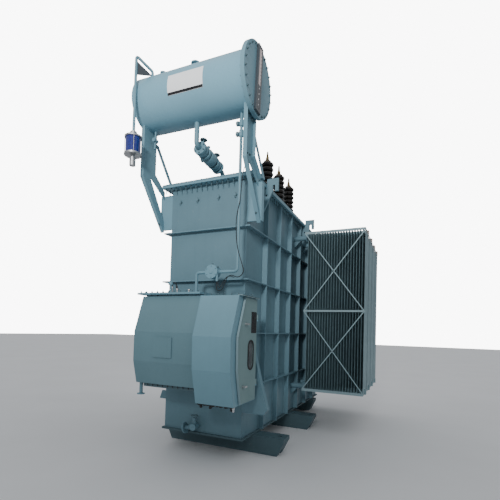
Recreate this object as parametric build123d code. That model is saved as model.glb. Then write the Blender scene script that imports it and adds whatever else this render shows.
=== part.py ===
from build123d import *
import math
import os

# A free-standing oil-filled power transformer: a ribbed tank on skids, with an oil
# conservator held out in front of it, a tap changer with its drive box, and cooling
# radiators along both sides.
# Z = 0 is the ground. X runs across the tank and Y along it, away from the tap changer.
# The origin lies on the ground under the middle of the front skid. Sizes are millimetres.

# Skids
SKID_H = 240.0
SKID_W = 260.0
SKID_COUNT = 3
SKID_SETBACK = 475.0       # tank's front wall to the middle of the front skid
SKID_REACH_RIGHT = 370.0   # underside, beyond the tank's side wall
SKID_REACH_LEFT = 110.0
SKID_REACH_REAR = 0.0      # the last skid's right end
SKID_BEVEL = 95.0
SKID_BEVEL_TOP = 192.0
TOW_HOLE_R = 32.0
TOW_HOLE_IN = 90.0         # hole's middle from the skid's upper end

# Tank
TANK_W = 1190.0
TANK_L = 4100.0
SHELL_H = 3419.0
WALL = 10.0
BASE_T = 25.0
BASE_OUT = 30.0
RIM_T = 22.0
RIM_OUT = 110.0
COVER_T = 26.0

# Flat bars round the tank and up its sides
BAND_T = 16.0
BAND_OUT = 75.0
BAND_COUNT = 4
BAND_TOP_IN = 668.0        # highest band below the rim's top
BAND_LOW = 669.0            # lowest band above the base plate
RIB_T = 16.0
RIB_BESIDE = 420.0         # last rib in front of the last radiator's middle
RIB_MARGIN = 500.0         # no rib nearer to the front wall

# Lifting lugs, jacking brackets and the small studs on the front wall
LUG_T = 30.0
LUG_FIRST = 422.0
LUG_SPACING = 2068.0
LUG_ABOVE_COVER = 75.0
LUG_REACH = 276.0
LUG_SLOT_IN = 194.0
LUG_SLOT_W = 35.0
LUG_SLOT_H = 87.0
LUG_HOOK_DROP = 56.0       # hook's lower end below the rim
LUG_TAIL = 470.0           # plate's lower end below the rim
LUG_HOLE_R = 14.0
LUG_HOLE_IN = 102.0
LUG_HOLE_DROP = 107.0
JACK_EDGE = [(300, 620), (335, 672), (242, 980), (78, 1612)]  # reach from the side wall, height
JACK_T = 20.0
JACK_FLANGE_W = 80.0
JACK_FLANGE_T = 16.0
PAD_REACH = 100.0
PAD_H = 100.0
PAD_BOTTOM = 670.0
STUD_X = (-438.0, -156.0, 175.0, 429.0)
STUD_R = 9.0
STUD_OUT = 34.0
STUD_BELOW_RIM = 222.0

# Conservator, a drum lying across the front, its closed end a little higher
CONS_R = 355.0
CONS_BEYOND_LEFT = 71.0    # drum past the post's web
CONS_BEYOND_RIGHT = 90.0
CONS_OUT = 350.0           # axis in front of the tank's front wall
CONS_RISE = 992.0          # axis above the cover at the tank's middle
CONS_TILT = 1.6
CONS_WALL = 6.0
CONS_DISH = 58.0
CONS_FLANGE_R = 425.0
CONS_FLANGE_T = 25.0
GAUGE_W = 135.0
GAUGE_H = 790.0
GAUGE_T = 30.0
GAUGE_EDGE = 36.0
GAUGE_AHEAD = 30.0         # gauge in front of the drum's axis
GLASS_SUNK = 8.0
PLATE_LEFT = -235.0
PLATE_W = 510.0
PLATE_H = 250.0
PLATE_T = 3.0
PLATE_LOW = 15.0           # plate's middle below the drum's axis

# Fittings on the drum's top, as (X, neck radius, head radius, height), and its lifting eyes
DRUM_FITTINGS = [(-67.0, 32.0, 62.0, 105.0), (-458.0, 18.0, 26.0, 90.0), (-583.0, 30.0, 48.0, 100.0)]
FITTING_HEAD_T = 18.0
EYE_X = (-730.0, 446.0)
EYE_W = 80.0
EYE_H = 78.0
EYE_T = 16.0
EYE_R = 16.0
CONS_DRAIN_X = -657.0
CONS_DRAIN_R = 14.0
CONS_DRAIN_LEN = 245.0

# Conservator supports, with heights from the cover's top
POST_CLEAR = 30.0          # between the rim and the post's web
POST_WEB_T = 10.0
POST_FLANGE_W = 42.0
POST_FLANGE_T = 10.0
POST_FRONT = 500.0         # in front of the tank's front wall
POST_REAR = 230.0
FRONT_BEND = -4.0
REAR_BEND = 110.0
FORK_OUT = 350.0           # where the two legs part
FORK_RISE = 35.0
FRONT_FOOT = -654.0
FRONT_FOOT_H = 148.0
REAR_FOOT = -62.0
REAR_FOOT_H = 112.0
EAR_T = 20.0
EAR_BEYOND = 60.0          # past the inner face of the post's web
EAR_TOP = -120.0
EAR_BOTTOM = -625.0
EAR_ANGLE_W = 60.0
EAR_ANGLE_T = 8.0
BRACE_T = 12.0
BRACE_W = 78.0
BRACE_RISE = 540.0
BRACE_SPREAD = 70.0
BRACE_FOOT = 250.0         # behind the tank's front wall
BRACE_FOOT_T = 10.0
BRACE_FOOT_W = 50.0

# Gas relay line from the conservator to the cover
LINE_R = 33.0
LINE_BEND = 45.0
LINE_DROP = 355.0          # its bend above the cover
LINE_SLOPE = 6.6
LINE_LAND = 400.0          # behind the tank's front wall
LINE_FLANGE_R = 90.0
LINE_FLANGE_T = 18.0
VALVE_R = 50.0
VALVE_LEN = 130.0
VALVE_NECK_R = 24.0
VALVE_RISE = 118.0
RELAY_R = 76.0
RELAY_LEN = 150.0
RELAY_KNOB_R = 26.0
RELAY_KNOB_RISE = 118.0
STATION_FIRST = 160.0      # first valve's middle along the sloping run
STATION_PITCH = 185.0

# Handwheels
WHEEL_R = 52.0
WHEEL_RIM_R = 6.0
WHEEL_HUB_R = 13.0
WHEEL_HUB_H = 22.0
SPOKE_R = 4.5
SPINDLE_R = 8.0
SPINDLE_RISE = 32.0

# Line from the conservator to the tap changer
SURGE_IN = 95.0            # pipe inside the right post's web
SURGE_R = 19.0
SURGE_BEND = 40.0
SURGE_RISE = 269.0         # level run above the changer's cover
SURGE_LAND_X = 68.0
SURGE_FOOT_R = 52.0
SURGE_FOOT_T = 14.0
SURGE_RELAY_X = 310.0
SURGE_RELAY_R = 86.0
SURGE_RELAY_T = 100.0
SURGE_RELAY_BACK = 40.0
COCK_DROPS = (141.0, 272.0)  # two cocks below the drum
COCK_R = 27.0
COCK_LEN = 40.0
COCK_REACH = 62.0
GLAND_X = 378.0
GLAND_R = 15.0
CORD_R = 5.0
CORD_BEND = 900.0
CORD_SHARE = 0.96           # part of each half run that an arc takes
GLAND_DROP = 119.0
CORD_AHEAD = 378.0         # cord in front of the tank's front wall
CORD_ROUTE = [             # X and height from the level run to the changer, between the cord's ends
    (378.0, -236.0), (448.0, -236.0), (540.0, -30.0), (676.0, -90.0), (746.0, -18.0), (636.0, 305.0),
    (617.0, 590.0), (634.0, 735.0), (666.0, 862.0), (690.0, 1200.0)]
CORD_END = 1310.0

# Breather beside the conservator's closed end, with heights from the drum's axis
BREATHER_X = -715.0
BREATHER_OUT = 740.0
BREATHER_TOP = -523.0
BREATHER_R = 97.0
BREATHER_CAP_R = 112.0
BREATHER_CAP_T = 20.0
DOME_R = 44.0
DOME_H = 62.0
GEL_H = 204.0
TIE_R = 4.0
CUP_NECK_R = 24.0
CUP_NECK_H = 30.0
CUP_R = 40.0
CUP_H = 105.0
BREATHER_PIPE_R = 19.0
BREATHER_APEX = 488.0
BREATHER_FALL = 133.0      # the sloping run's fall
BREATHER_APEX_BEND = 22.0
BREATHER_BEND = 45.0
BREATHER_LAND_X = -589.0
BREATHER_LAND_OUT = 560.0

# Tap changer and its drive box
BOX_REAR = 80.0            # both boxes' back in front of the front wall
CHANGER_LEFT = -614.0
CHANGER_RIGHT = 275.0
CHANGER_TOP = 2065.0
CHANGER_COVER_Z = 2085.0
CHANGER_COVER_T = 24.0
CHANGER_COVER_OUT = 55.0
COLLAR_IN = 30.0
NECK_IN_LEFT = 60.0
NECK_IN_RIGHT = 40.0
NECK_IN_LOW = 44.0
NECK_IN_TOP = 90.0
HATCH_LEFT = -306.0
HATCH_W = 272.0
HATCH_H = 248.0
HATCH_T = 14.0
HATCH_RISE = 60.0
STRIP_OUT = 540.0
STRIP_H = 26.0
VENT_IN = 362.0
VENT_BACK = 90.0
VENT_R = 19.0
VENT_H = 150.0
VENT_CAP_R = 30.0
VENT_CAP_T = 40.0
FOOT_IN = 12.0
FOOT_R = 22.0
FOOT_DROP = 150.0
FOOT_FLANGE_R = 51.0
FOOT_FLANGE_T = 12.0
COUPLING_T = 30.0
DRIVE_W = 520.0
DRIVE_WALL = 4.0
DOOR_T = 18.0
DOOR_EDGE = 130.0          # door's free edge behind the box's front
DOOR_GAP = 5.0
DOOR_TRIM = 16.0           # door's top and bottom edges inside the box's
DOORWAY_LIP = 15.0
HINGE_OUT = 92.0           # hinge pins in front of the tank's front wall
HINGE_STAND = 18.0         # pins beyond the box's side
HINGE_R = 7.0
HINGE_FIT = 0.3
KNUCKLE_R = 12.0
KNUCKLE_H = 60.0
HINGE_Z = (1000.0, 1800.0)
HINGE_LUG_H = 20.0
HINGE_ARM = 9.0            # knuckle's arm past the knuckle
DOOR_REAR = 8.0            # door's rear edge in front of the knuckles
WINDOW_OUT = 288.0         # window's middle in front of the front wall
WINDOW_Z = 1369.0
WINDOW_W = 170.0
WINDOW_H = 360.0
WINDOW_TRIM = 16.0         # cutout inside the frame's outer edge
WINDOW_FRAME = 20.0
WINDOW_SUNK = 6.0
WINDOW_FRAME_T = 8.0
DOOR_PLATE_OUT = 125.0
DOOR_PLATE_W = 160.0
DOOR_PLATE_Z = 1632.0
DOOR_PLATE_H = 255.0
DOOR_PLATE_T = 2.0
HANDLES = ((458.0, 1734.0), (497.0, 1012.0))  # each handle's place: out from the wall, height
HANDLE_R = 16.0
HANDLE_STAND = 22.0
HANDLE_T = 14.0
HANDLE_LEN = 62.0
HANDLE_W = 24.0
HANDLE_H = 18.0

# High-voltage bushings
BUSHING_X = 305.0
BUSHING_FIRST = 1430.0
BUSHING_PITCH = 600.0
BUSHING_COUNT = 3
TURRET_R = 120.0
TURRET_H = 105.0
TURRET_FLANGE = 18.0
SHED_R = 108.0
SHED_CORE_R = 76.0
SHED_PITCH = 83.5
SHED_COUNT = 8
SHED_LIP = 14.0
CAP_TOP_R = 30.0
CAP_H = 66.0
STEM_R = 13.0
STEM_H = 132.0
BUSHING_FOOT_H = 30.0

# Radiators
RAD_COUNT = 4
RAD_LAST_IN = 180.0        # last radiator's middle from the tank's rear wall
RAD_GAP = 60.0
PANEL_COUNT = 22
PANEL_PITCH = 45.0
PANEL_T = 10.0
PANEL_W = 520.0
PANEL_START = 315.0
PANEL_BOTTOM = 655.0
PANEL_TOP_IN = 279.0       # below the rim's top
HEADER_W = 90.0
HEADER_H = 85.0
HEADER_START = 265.0
HEADER_END = 1290.0
STUB_R = 45.0
STUB_FLANGE_R = 90.0
STUB_FLANGE_T = 20.0
GUSSET_L = 115.0
GUSSET_T = 12.0
RAIL_H = 70.0
RAIL_T = 8.0
STAY_W = 25.0
STAY_T = 6.0

# Drain valve at the foot of the tank
DRAIN_X = -49.0
DRAIN_Z = 354.0
DRAIN_OUT = 100.0
DRAIN_R = 29.0
DRAIN_BODY_R = 46.0
DRAIN_RISE = 118.0
DRAIN_REACH = 130.0
DRAIN_FALL = 30.0
DRAIN_FLANGE_R = 75.0

SEAT = 0.3                 # clearance between curved faces that meet

# Places worked out from the sizes above
FRONT_Y = -SKID_SETBACK
REAR_Y = FRONT_Y + TANK_L
SIDE_X = TANK_W / 2
BASE_Z = SKID_H + BASE_T
RIM_TOP = BASE_Z + SHELL_H
RIM_UNDER = RIM_TOP - RIM_T
COVER_TOP = RIM_TOP + COVER_T
SKID_PITCH = (TANK_L - 2 * SKID_SETBACK) / (SKID_COUNT - 1)
PANEL_TOP = RIM_TOP - PANEL_TOP_IN
CONS_Y = FRONT_Y - CONS_OUT
CONS_Z = COVER_TOP + CONS_RISE
POST_IN = SIDE_X + RIM_OUT + POST_CLEAR
EAR_OUT = POST_IN + EAR_BEYOND
CONS_LEFT = -POST_IN - CONS_BEYOND_LEFT
CONS_RIGHT = POST_IN + CONS_BEYOND_RIGHT
SURGE_X = POST_IN - SURGE_IN
RAD_PITCH = PANEL_W + RAD_GAP
BAND_PITCH = (SHELL_H - BAND_TOP_IN - BAND_LOW) / (BAND_COUNT - 1)
BAND_Z = [RIM_TOP - BAND_TOP_IN - i * BAND_PITCH for i in range(BAND_COUNT)][::-1]
RAD_Y = [REAR_Y - RAD_LAST_IN - i * RAD_PITCH for i in range(RAD_COUNT)][::-1]
RIB_LAST = TANK_L - RAD_LAST_IN - RIB_BESIDE
RIB_COUNT = int((RIB_LAST - RIB_MARGIN) // RAD_PITCH) + 1
RIB_Y = [FRONT_Y + RIB_LAST - i * RAD_PITCH for i in range(RIB_COUNT)][::-1]
LUG_Y = [FRONT_Y + LUG_FIRST, FRONT_Y + LUG_FIRST + LUG_SPACING]
DRIVE_RIGHT = CHANGER_RIGHT + DRIVE_W
LAND_Z = CHANGER_COVER_Z + CHANGER_COVER_T
SURGE_Z = LAND_Z + SURGE_RISE


def out(distance):
    """Y of a place this far in front of the tank's front wall."""
    return FRONT_Y - distance


# General shapes

def block(x0, x1, y0, y1, z0, z1):
    """A rectangular block between two corners."""
    middle = Pos((x0 + x1) / 2, (y0 + y1) / 2, (z0 + z1) / 2)
    return middle * Box(abs(x1 - x0), abs(y1 - y0), abs(z1 - z0))


def plate_x(outline, x0, x1):
    """A plate with its outline in the YZ plane, between two X values."""
    face = Face(Wire.make_polygon([(x0, y, z) for y, z in outline], close=True))
    return extrude(face, amount=x1 - x0, dir=(1, 0, 0))


def plate_y(outline, y0, y1):
    """A plate with its outline in the XZ plane, between two Y values."""
    face = Face(Wire.make_polygon([(x, y0, z) for x, z in outline], close=True))
    return extrude(face, amount=y1 - y0, dir=(0, 1, 0))


def rod(start, end, radius):
    """A round bar between two points."""
    axis = Vector(*end) - Vector(*start)
    plane = Plane(origin=start, z_dir=axis)
    return plane * Cylinder(radius, axis.length, align=(Align.CENTER, Align.CENTER, Align.MIN))


def bent_rod(points, bend, radius):
    """A round bar along straight runs joined by arcs of one radius or a list of radii."""
    path = FilletPolyline(*points, radius=bend)
    section = Plane(origin=path @ 0, z_dir=path % 0) * Circle(radius)
    return sweep(section, path=path)


def turned(profile):
    """A solid turned about the Z axis from a closed outline of (radius, height)."""
    face = Face(Wire.make_polygon([(r, 0, z) for r, z in profile], close=True))
    return revolve(face, Axis.Z)


def mirrored(shape):
    """The same piece on the tank's other side."""
    return mirror(shape, about=Plane.YZ)


def write(name, *shapes):
    """Keeps one named piece, as one solid or as several that don't overlap."""
    solids = [solid for shape in shapes for solid in shape.solids()]
    piece = solids[0] if len(solids) == 1 else Compound(children=solids)
    export_step(piece, f"parts/{name}.step")


# Skids and tank

def skid(y, reach_right):
    """One cross beam with both ends bevelled up from the ground, and a tow hole."""
    right, left = SIDE_X + reach_right, -SIDE_X - SKID_REACH_LEFT
    outline = [
        (left, 0), (right, 0), (right + SKID_BEVEL, SKID_BEVEL_TOP),
        (right + SKID_BEVEL, SKID_H), (left - SKID_BEVEL, SKID_H), (left - SKID_BEVEL, SKID_BEVEL_TOP),
    ]
    beam = plate_y(outline, y - SKID_W / 2, y + SKID_W / 2)
    hole_x = right + SKID_BEVEL - TOW_HOLE_IN
    if hole_x - TOW_HOLE_R > SIDE_X + BASE_OUT:
        beam = beam - rod((hole_x, y, -1), (hole_x, y, SKID_H + 1), TOW_HOLE_R)
    return beam


def frame_round_tank(outer, z0, z1, gap=0.0):
    """A flat ring round the tank, this far out from its walls."""
    ring = block(-SIDE_X - outer, SIDE_X + outer, FRONT_Y - outer, REAR_Y + outer, z0, z1)
    inside = block(-SIDE_X - gap, SIDE_X + gap, FRONT_Y - gap, REAR_Y + gap, z0 - 1, z1 + 1)
    return ring - inside


def tank():
    """Skids, base plate, shell, rim, cover and the studs on the front wall."""
    reach = (SKID_REACH_RIGHT, SKID_REACH_RIGHT, SKID_REACH_REAR)
    for i, name in enumerate(("skid_front", "skid_middle", "skid_rear")):
        write(name, skid(i * SKID_PITCH, reach[i]))
    write("base_plate", block(
        -SIDE_X - BASE_OUT, SIDE_X + BASE_OUT, FRONT_Y - BASE_OUT, REAR_Y + BASE_OUT, SKID_H, BASE_Z))
    shell = block(-SIDE_X, SIDE_X, FRONT_Y, REAR_Y, BASE_Z, RIM_TOP)
    inside = block(-SIDE_X + WALL, SIDE_X - WALL, FRONT_Y + WALL, REAR_Y - WALL, BASE_Z - 1, RIM_TOP + 1)
    stud_z = RIM_TOP - STUD_BELOW_RIM
    studs = [rod((x, out(STUD_OUT), stud_z), (x, FRONT_Y + WALL / 2, stud_z), STUD_R) for x in STUD_X]
    write("tank_shell", (shell - inside).fuse(*studs))
    write("tank_rim", frame_round_tank(RIM_OUT, RIM_UNDER, RIM_TOP))
    write("tank_cover", block(
        -SIDE_X - RIM_OUT, SIDE_X + RIM_OUT, FRONT_Y - RIM_OUT, REAR_Y + RIM_OUT, RIM_TOP, COVER_TOP))


def changer_neck():
    """The frame that carries the tap changer on the tank's front wall."""
    return block(
        CHANGER_LEFT + NECK_IN_LEFT, CHANGER_RIGHT - NECK_IN_RIGHT, out(BOX_REAR), FRONT_Y,
        CHANGER_PROFILE[-1][1] + NECK_IN_LOW, CHANGER_TOP - NECK_IN_TOP)


def bands():
    """Flat-bar rings round the tank, cut where the tap changer's neck stands."""
    rings = [
        frame_round_tank(BAND_OUT, z - BAND_T / 2, z + BAND_T / 2) - changer_neck() for z in BAND_Z]
    write("tank_bands", *rings)


def ribs():
    """Upright flat bars on both side walls, in lengths between the bands."""
    ends = [BASE_Z, *BAND_Z, RIM_UNDER]
    right = []
    for y in RIB_Y:
        for i in range(len(ends) - 1):
            z0 = ends[i] + (BAND_T / 2 if i else 0)
            z1 = ends[i + 1] - (BAND_T / 2 if i < BAND_COUNT else 0)
            right.append(block(SIDE_X, SIDE_X + BAND_OUT, y - RIB_T / 2, y + RIB_T / 2, z0, z1))
    write("side_ribs", *right, *[mirrored(rib) for rib in right])


def lifting_lug(y):
    """A plate up the side wall that stands out past the rim as a hook, open downwards."""
    rim_x, low, tip = SIDE_X + RIM_OUT, RIM_UNDER - LUG_HOOK_DROP, SIDE_X + LUG_REACH
    slot_x0, slot_x1 = SIDE_X + LUG_SLOT_IN, SIDE_X + LUG_SLOT_IN + LUG_SLOT_W
    outline = [
        (SIDE_X, RIM_UNDER - LUG_TAIL), (slot_x0, low), (slot_x0, low + LUG_SLOT_H),
        (slot_x1, low + LUG_SLOT_H), (slot_x1, low), (tip, low), (tip, COVER_TOP + LUG_ABOVE_COVER),
        (rim_x, COVER_TOP + LUG_ABOVE_COVER), (rim_x, RIM_UNDER), (SIDE_X, RIM_UNDER),
    ]
    hole_x, hole_z = SIDE_X + LUG_HOLE_IN, RIM_UNDER - LUG_HOLE_DROP
    hole = rod((hole_x, y - LUG_T, hole_z), (hole_x, y + LUG_T, hole_z), LUG_HOLE_R)
    return plate_y(outline, y - LUG_T / 2, y + LUG_T / 2) - hole


def lugs():
    right = [lifting_lug(y) for y in LUG_Y]
    write("lifting_lugs", *right, *[mirrored(lug) for lug in right])


def jacking_bracket():
    """The tall plate at the right front corner, with a flange along its outer and lower edges."""
    edge = [(SIDE_X + reach, z) for reach, z in JACK_EDGE]
    low, top = edge[0][1], edge[-1][1]
    rings = [frame_round_tank(BAND_OUT, z - BAND_T / 2, z + BAND_T / 2) for z in BAND_Z if low < z < top]
    plate = plate_y([(SIDE_X, low), *edge, (SIDE_X, top)], FRONT_Y, FRONT_Y + JACK_T) - rings
    outer = [(x + JACK_FLANGE_T, z) for x, z in edge]
    rim = [(SIDE_X, low - JACK_FLANGE_T), (edge[0][0], low - JACK_FLANGE_T), *outer, *edge[::-1], (SIDE_X, low)]
    return plate, plate_y(rim, FRONT_Y, FRONT_Y + JACK_FLANGE_W)


def jacking_pad(y, inward):
    """A small bracket low on a corner: a plate with a foot under it, for the left side."""
    x, top = -SIDE_X - PAD_REACH, PAD_BOTTOM + PAD_H
    plate = plate_y([(x, PAD_BOTTOM), (-SIDE_X, PAD_BOTTOM), (-SIDE_X, top), (x + PAD_REACH / 3, top)],
                    y, y + inward * JACK_T)
    foot = block(x, -SIDE_X, y, y + inward * JACK_FLANGE_W, PAD_BOTTOM - JACK_FLANGE_T, PAD_BOTTOM)
    return plate, foot


def jacking_brackets():
    rear = jacking_pad(REAR_Y, -1)
    write("jacking_brackets", *jacking_bracket(), *jacking_pad(FRONT_Y, 1),
          *rear, *[mirrored(piece) for piece in rear])


# Conservator and its supports

def tilted(shape):
    """Leans a piece that was made level with the drum."""
    return Pos(0, CONS_Y, CONS_Z) * Rot(0, CONS_TILT, 0) * Pos(0, -CONS_Y, -CONS_Z) * shape


def drum(radius, x0, x1):
    """A cylinder on the conservator's axis."""
    return tilted(rod((x0, CONS_Y, CONS_Z), (x1, CONS_Y, CONS_Z), radius))


def on_drum(shape, x):
    """Leans a piece with the drum and seats it on the drum's skin."""
    return tilted(shape) - drum(CONS_R + SEAT, x - EYE_W, x + EYE_W)


def conservator():
    """The drum with its dished end, end flange, cover and oil-level glass."""
    write("conservator_shell", drum(CONS_R, CONS_LEFT, CONS_RIGHT)
          - drum(CONS_R - CONS_WALL, CONS_LEFT - 1, CONS_RIGHT + 1))
    ball_r = (CONS_R ** 2 + CONS_DISH ** 2) / (2 * CONS_DISH)
    ball = Pos(CONS_LEFT - CONS_DISH + ball_r, CONS_Y, CONS_Z) * Sphere(ball_r)
    head = ball & block(
        CONS_LEFT - CONS_DISH - 1, CONS_LEFT, CONS_Y - CONS_R, CONS_Y + CONS_R,
        CONS_Z - CONS_R, CONS_Z + CONS_R)
    write("conservator_head", tilted(head))
    flange = drum(CONS_FLANGE_R, CONS_RIGHT - CONS_FLANGE_T, CONS_RIGHT) - drum(
        CONS_R + SEAT, CONS_RIGHT - CONS_FLANGE_T - 1, CONS_RIGHT + 1)
    write("conservator_flange", flange)
    write("conservator_cover", drum(CONS_FLANGE_R, CONS_RIGHT, CONS_RIGHT + CONS_FLANGE_T))


def gauge_block(width, height, depth):
    """A block on the conservator's cover, centred on the oil-level glass."""
    face, y = CONS_RIGHT + CONS_FLANGE_T, CONS_Y - GAUGE_AHEAD
    return tilted(block(
        face, face + depth, y - width / 2, y + width / 2, CONS_Z - height / 2, CONS_Z + height / 2))


def level_gauge():
    """The frame on the end cover with its tall glass."""
    glass_w, glass_h = GAUGE_W - 2 * GAUGE_EDGE, GAUGE_H - 2 * GAUGE_EDGE
    opening = gauge_block(glass_w, glass_h, GAUGE_T + 1)
    write("level_gauge_frame", gauge_block(GAUGE_W, GAUGE_H, GAUGE_T) - opening)
    write("level_gauge_glass", gauge_block(glass_w, glass_h, GAUGE_T - GLASS_SUNK))


def name_plate():
    """A bare plate that follows the drum's front."""
    ring = drum(CONS_R + SEAT + PLATE_T, PLATE_LEFT, PLATE_LEFT + PLATE_W) - drum(
        CONS_R + SEAT, PLATE_LEFT - 1, PLATE_LEFT + PLATE_W + 1)
    middle = CONS_Z - PLATE_LOW
    band = block(PLATE_LEFT - 1, PLATE_LEFT + PLATE_W + 1, CONS_Y - 2 * CONS_R, CONS_Y,
                 middle - PLATE_H / 2, middle + PLATE_H / 2)
    write("name_plate", ring & tilted(band))


def lifting_eye(x):
    top = CONS_Z + CONS_R
    plate = plate_y([(x - EYE_W / 2, top - EYE_R), (x + EYE_W / 2, top - EYE_R), (x + EYE_W / 3, top + EYE_H),
                     (x - EYE_W / 3, top + EYE_H)], CONS_Y - EYE_T / 2, CONS_Y + EYE_T / 2)
    eye = rod((x, CONS_Y - EYE_T, top + EYE_H / 2), (x, CONS_Y + EYE_T, top + EYE_H / 2), EYE_R)
    return on_drum(plate - eye, x)


def conservator_fittings():
    """Filler, vents and lifting eyes along the drum's top, and the drain under its closed end."""
    pieces = []
    for x, neck_r, head_r, height in DRUM_FITTINGS:
        tip = CONS_Z + CONS_R + height
        neck = rod((x, CONS_Y, CONS_Z + CONS_R - CONS_WALL), (x, CONS_Y, tip - FITTING_HEAD_T), neck_r)
        head = rod((x, CONS_Y, tip - FITTING_HEAD_T), (x, CONS_Y, tip), head_r)
        pieces.append(on_drum(neck + head, x))
    pieces += [lifting_eye(x) for x in EYE_X]
    x, low = CONS_DRAIN_X, CONS_Z - CONS_R - CONS_DRAIN_LEN
    pipe = rod((x, CONS_Y, low), (x, CONS_Y, CONS_Z - CONS_R + CONS_DRAIN_R), CONS_DRAIN_R)
    valve_z = low + CONS_DRAIN_LEN / 2
    valve = rod((x, CONS_Y - COCK_LEN, valve_z), (x, CONS_Y + COCK_LEN, valve_z), COCK_R)
    write("conservator_fittings", *pieces, on_drum(pipe + valve, x))


def support():
    """One post: a channel under the drum that forks into two legs leaning back to the tank."""
    front, rear, fork, wall = out(POST_FRONT), out(POST_REAR), out(FORK_OUT), FRONT_Y
    front_bend, rear_bend = COVER_TOP + FRONT_BEND, COVER_TOP + REAR_BEND
    front_foot, rear_foot = COVER_TOP + FRONT_FOOT, COVER_TOP + REAR_FOOT
    web_x0, web_x1 = POST_IN, POST_IN + POST_WEB_T
    flange_x1, t = web_x1 + POST_FLANGE_W, POST_FLANGE_T
    web = plate_x([
        (front, CONS_Z), (front, front_bend), (wall, front_foot), (wall, front_foot + FRONT_FOOT_H),
        (fork, COVER_TOP + FORK_RISE), (wall, rear_foot - REAR_FOOT_H), (wall, rear_foot),
        (rear, rear_bend), (rear, CONS_Z)], web_x0, web_x1)
    front_lean = t * math.hypot(wall - front, front_bend - front_foot) / (wall - front)
    rear_lean = t * math.hypot(wall - rear, rear_bend - rear_foot) / (wall - rear)
    front_flange = plate_x([
        (front, CONS_Z), (front, front_bend), (wall, front_foot), (wall, front_foot + front_lean),
        (front + t, front_bend + front_lean - t * (front_bend - front_foot) / (wall - front)),
        (front + t, CONS_Z)], web_x1, flange_x1)
    rear_flange = plate_x([
        (rear, CONS_Z), (rear, rear_bend), (wall, rear_foot), (wall, rear_foot - rear_lean),
        (rear - t, rear_bend - rear_lean + t * (rear_bend - rear_foot) / (wall - rear)),
        (rear - t, CONS_Z)], web_x1, flange_x1)
    return web + front_flange + rear_flange


def ear():
    """The plate on the tank's front corner that the legs bolt to, with an angle on its edge."""
    z0, z1 = COVER_TOP + EAR_BOTTOM, COVER_TOP + EAR_TOP
    plate = block(SIDE_X, EAR_OUT, FRONT_Y, FRONT_Y + EAR_T, z0, z1)
    return plate + block(EAR_OUT - EAR_ANGLE_T, EAR_OUT, FRONT_Y + EAR_T, FRONT_Y + EAR_T + EAR_ANGLE_W, z0, z1)


def brace():
    """A flat bar from the post's rear edge down to the cover."""
    x0 = POST_IN - BRACE_T
    y0, y1 = out(POST_REAR), FRONT_Y + BRACE_FOOT
    top = COVER_TOP + BRACE_RISE
    outline = [(y0 - POST_FLANGE_W, top), (y0 + BRACE_SPREAD - POST_FLANGE_W, top), (y1, COVER_TOP),
               (y1 - BRACE_W, COVER_TOP)]
    foot = block(x0 - BRACE_FOOT_W, x0, y1 - BRACE_W, y1, COVER_TOP, COVER_TOP + BRACE_FOOT_T)
    return plate_x(outline, x0, POST_IN) + foot


def supports():
    ends = drum(CONS_R + SEAT, POST_IN - EYE_W, POST_IN + EYE_W), drum(
        CONS_R + SEAT, -POST_IN - EYE_W, -POST_IN + EYE_W)
    write("support_right", support() - ends[0])
    write("support_left", mirrored(support()) - ends[1])
    write("support_ears", ear(), mirrored(ear()))
    write("support_braces", brace(), mirrored(brace()))


# Breather

def breather():
    """A pipe over the drum's closed end down to a gel-filled glass and an oil cup."""
    x, y, top = BREATHER_X, out(BREATHER_OUT), CONS_Z + BREATHER_TOP
    land_x, land_y = BREATHER_LAND_X, out(BREATHER_LAND_OUT)
    cap_top = top - DOME_H
    gel_top = cap_top - BREATHER_CAP_T
    gel_low = gel_top - GEL_H
    apex = CONS_Z + BREATHER_APEX
    pipe = bent_rod([
        (x, y, top), (x, y, apex), (land_x, land_y, apex - BREATHER_FALL), (land_x, land_y, CONS_Z + CONS_R / 2)],
        [BREATHER_APEX_BEND, BREATHER_BEND], BREATHER_PIPE_R)
    write("breather_pipe", pipe - drum(CONS_R + SEAT, CONS_LEFT, land_x + CONS_R))
    upper = rod((x, y, gel_top), (x, y, cap_top), BREATHER_CAP_R) + rod((x, y, cap_top), (x, y, top), DOME_R)
    lower = rod((x, y, gel_low - BREATHER_CAP_T), (x, y, gel_low), BREATHER_CAP_R)
    neck_low = gel_low - BREATHER_CAP_T - CUP_NECK_H
    lower = lower + rod((x, y, neck_low), (x, y, gel_low - BREATHER_CAP_T), CUP_NECK_R)
    tie_out = (BREATHER_R + BREATHER_CAP_R) / 2
    ties = []
    for angle in (45, 135, 225, 315):
        tie_x, tie_y = x + tie_out * math.cos(math.radians(angle)), y + tie_out * math.sin(math.radians(angle))
        ties.append(rod((tie_x, tie_y, gel_low), (tie_x, tie_y, gel_top), TIE_R))
    write("breather_caps", upper, lower, *ties)
    write("breather_gel_glass", rod((x, y, gel_low), (x, y, gel_top), BREATHER_R))
    write("breather_oil_cup", rod((x, y, neck_low - CUP_H), (x, y, neck_low), CUP_R))


# Handwheels

def handwheel(foot, axis):
    """A spoked wheel on its spindle, standing on a point along an axis."""
    wheel = Cylinder(WHEEL_R, 2 * WHEEL_RIM_R) - Cylinder(WHEEL_R - 2 * WHEEL_RIM_R, 3 * WHEEL_RIM_R)
    for angle in (0, 90):
        wheel = wheel + Rot(0, 0, angle) * Box(2 * (WHEEL_R - WHEEL_RIM_R), 2 * SPOKE_R, 2 * SPOKE_R)
    wheel = wheel + Cylinder(WHEEL_HUB_R, WHEEL_HUB_H)
    spindle = Pos(0, 0, -SPINDLE_RISE / 2) * Cylinder(SPINDLE_R, SPINDLE_RISE)
    return Plane(origin=foot, z_dir=axis) * Pos(0, 0, SPINDLE_RISE) * (wheel + spindle)


# Gas relay line

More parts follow.
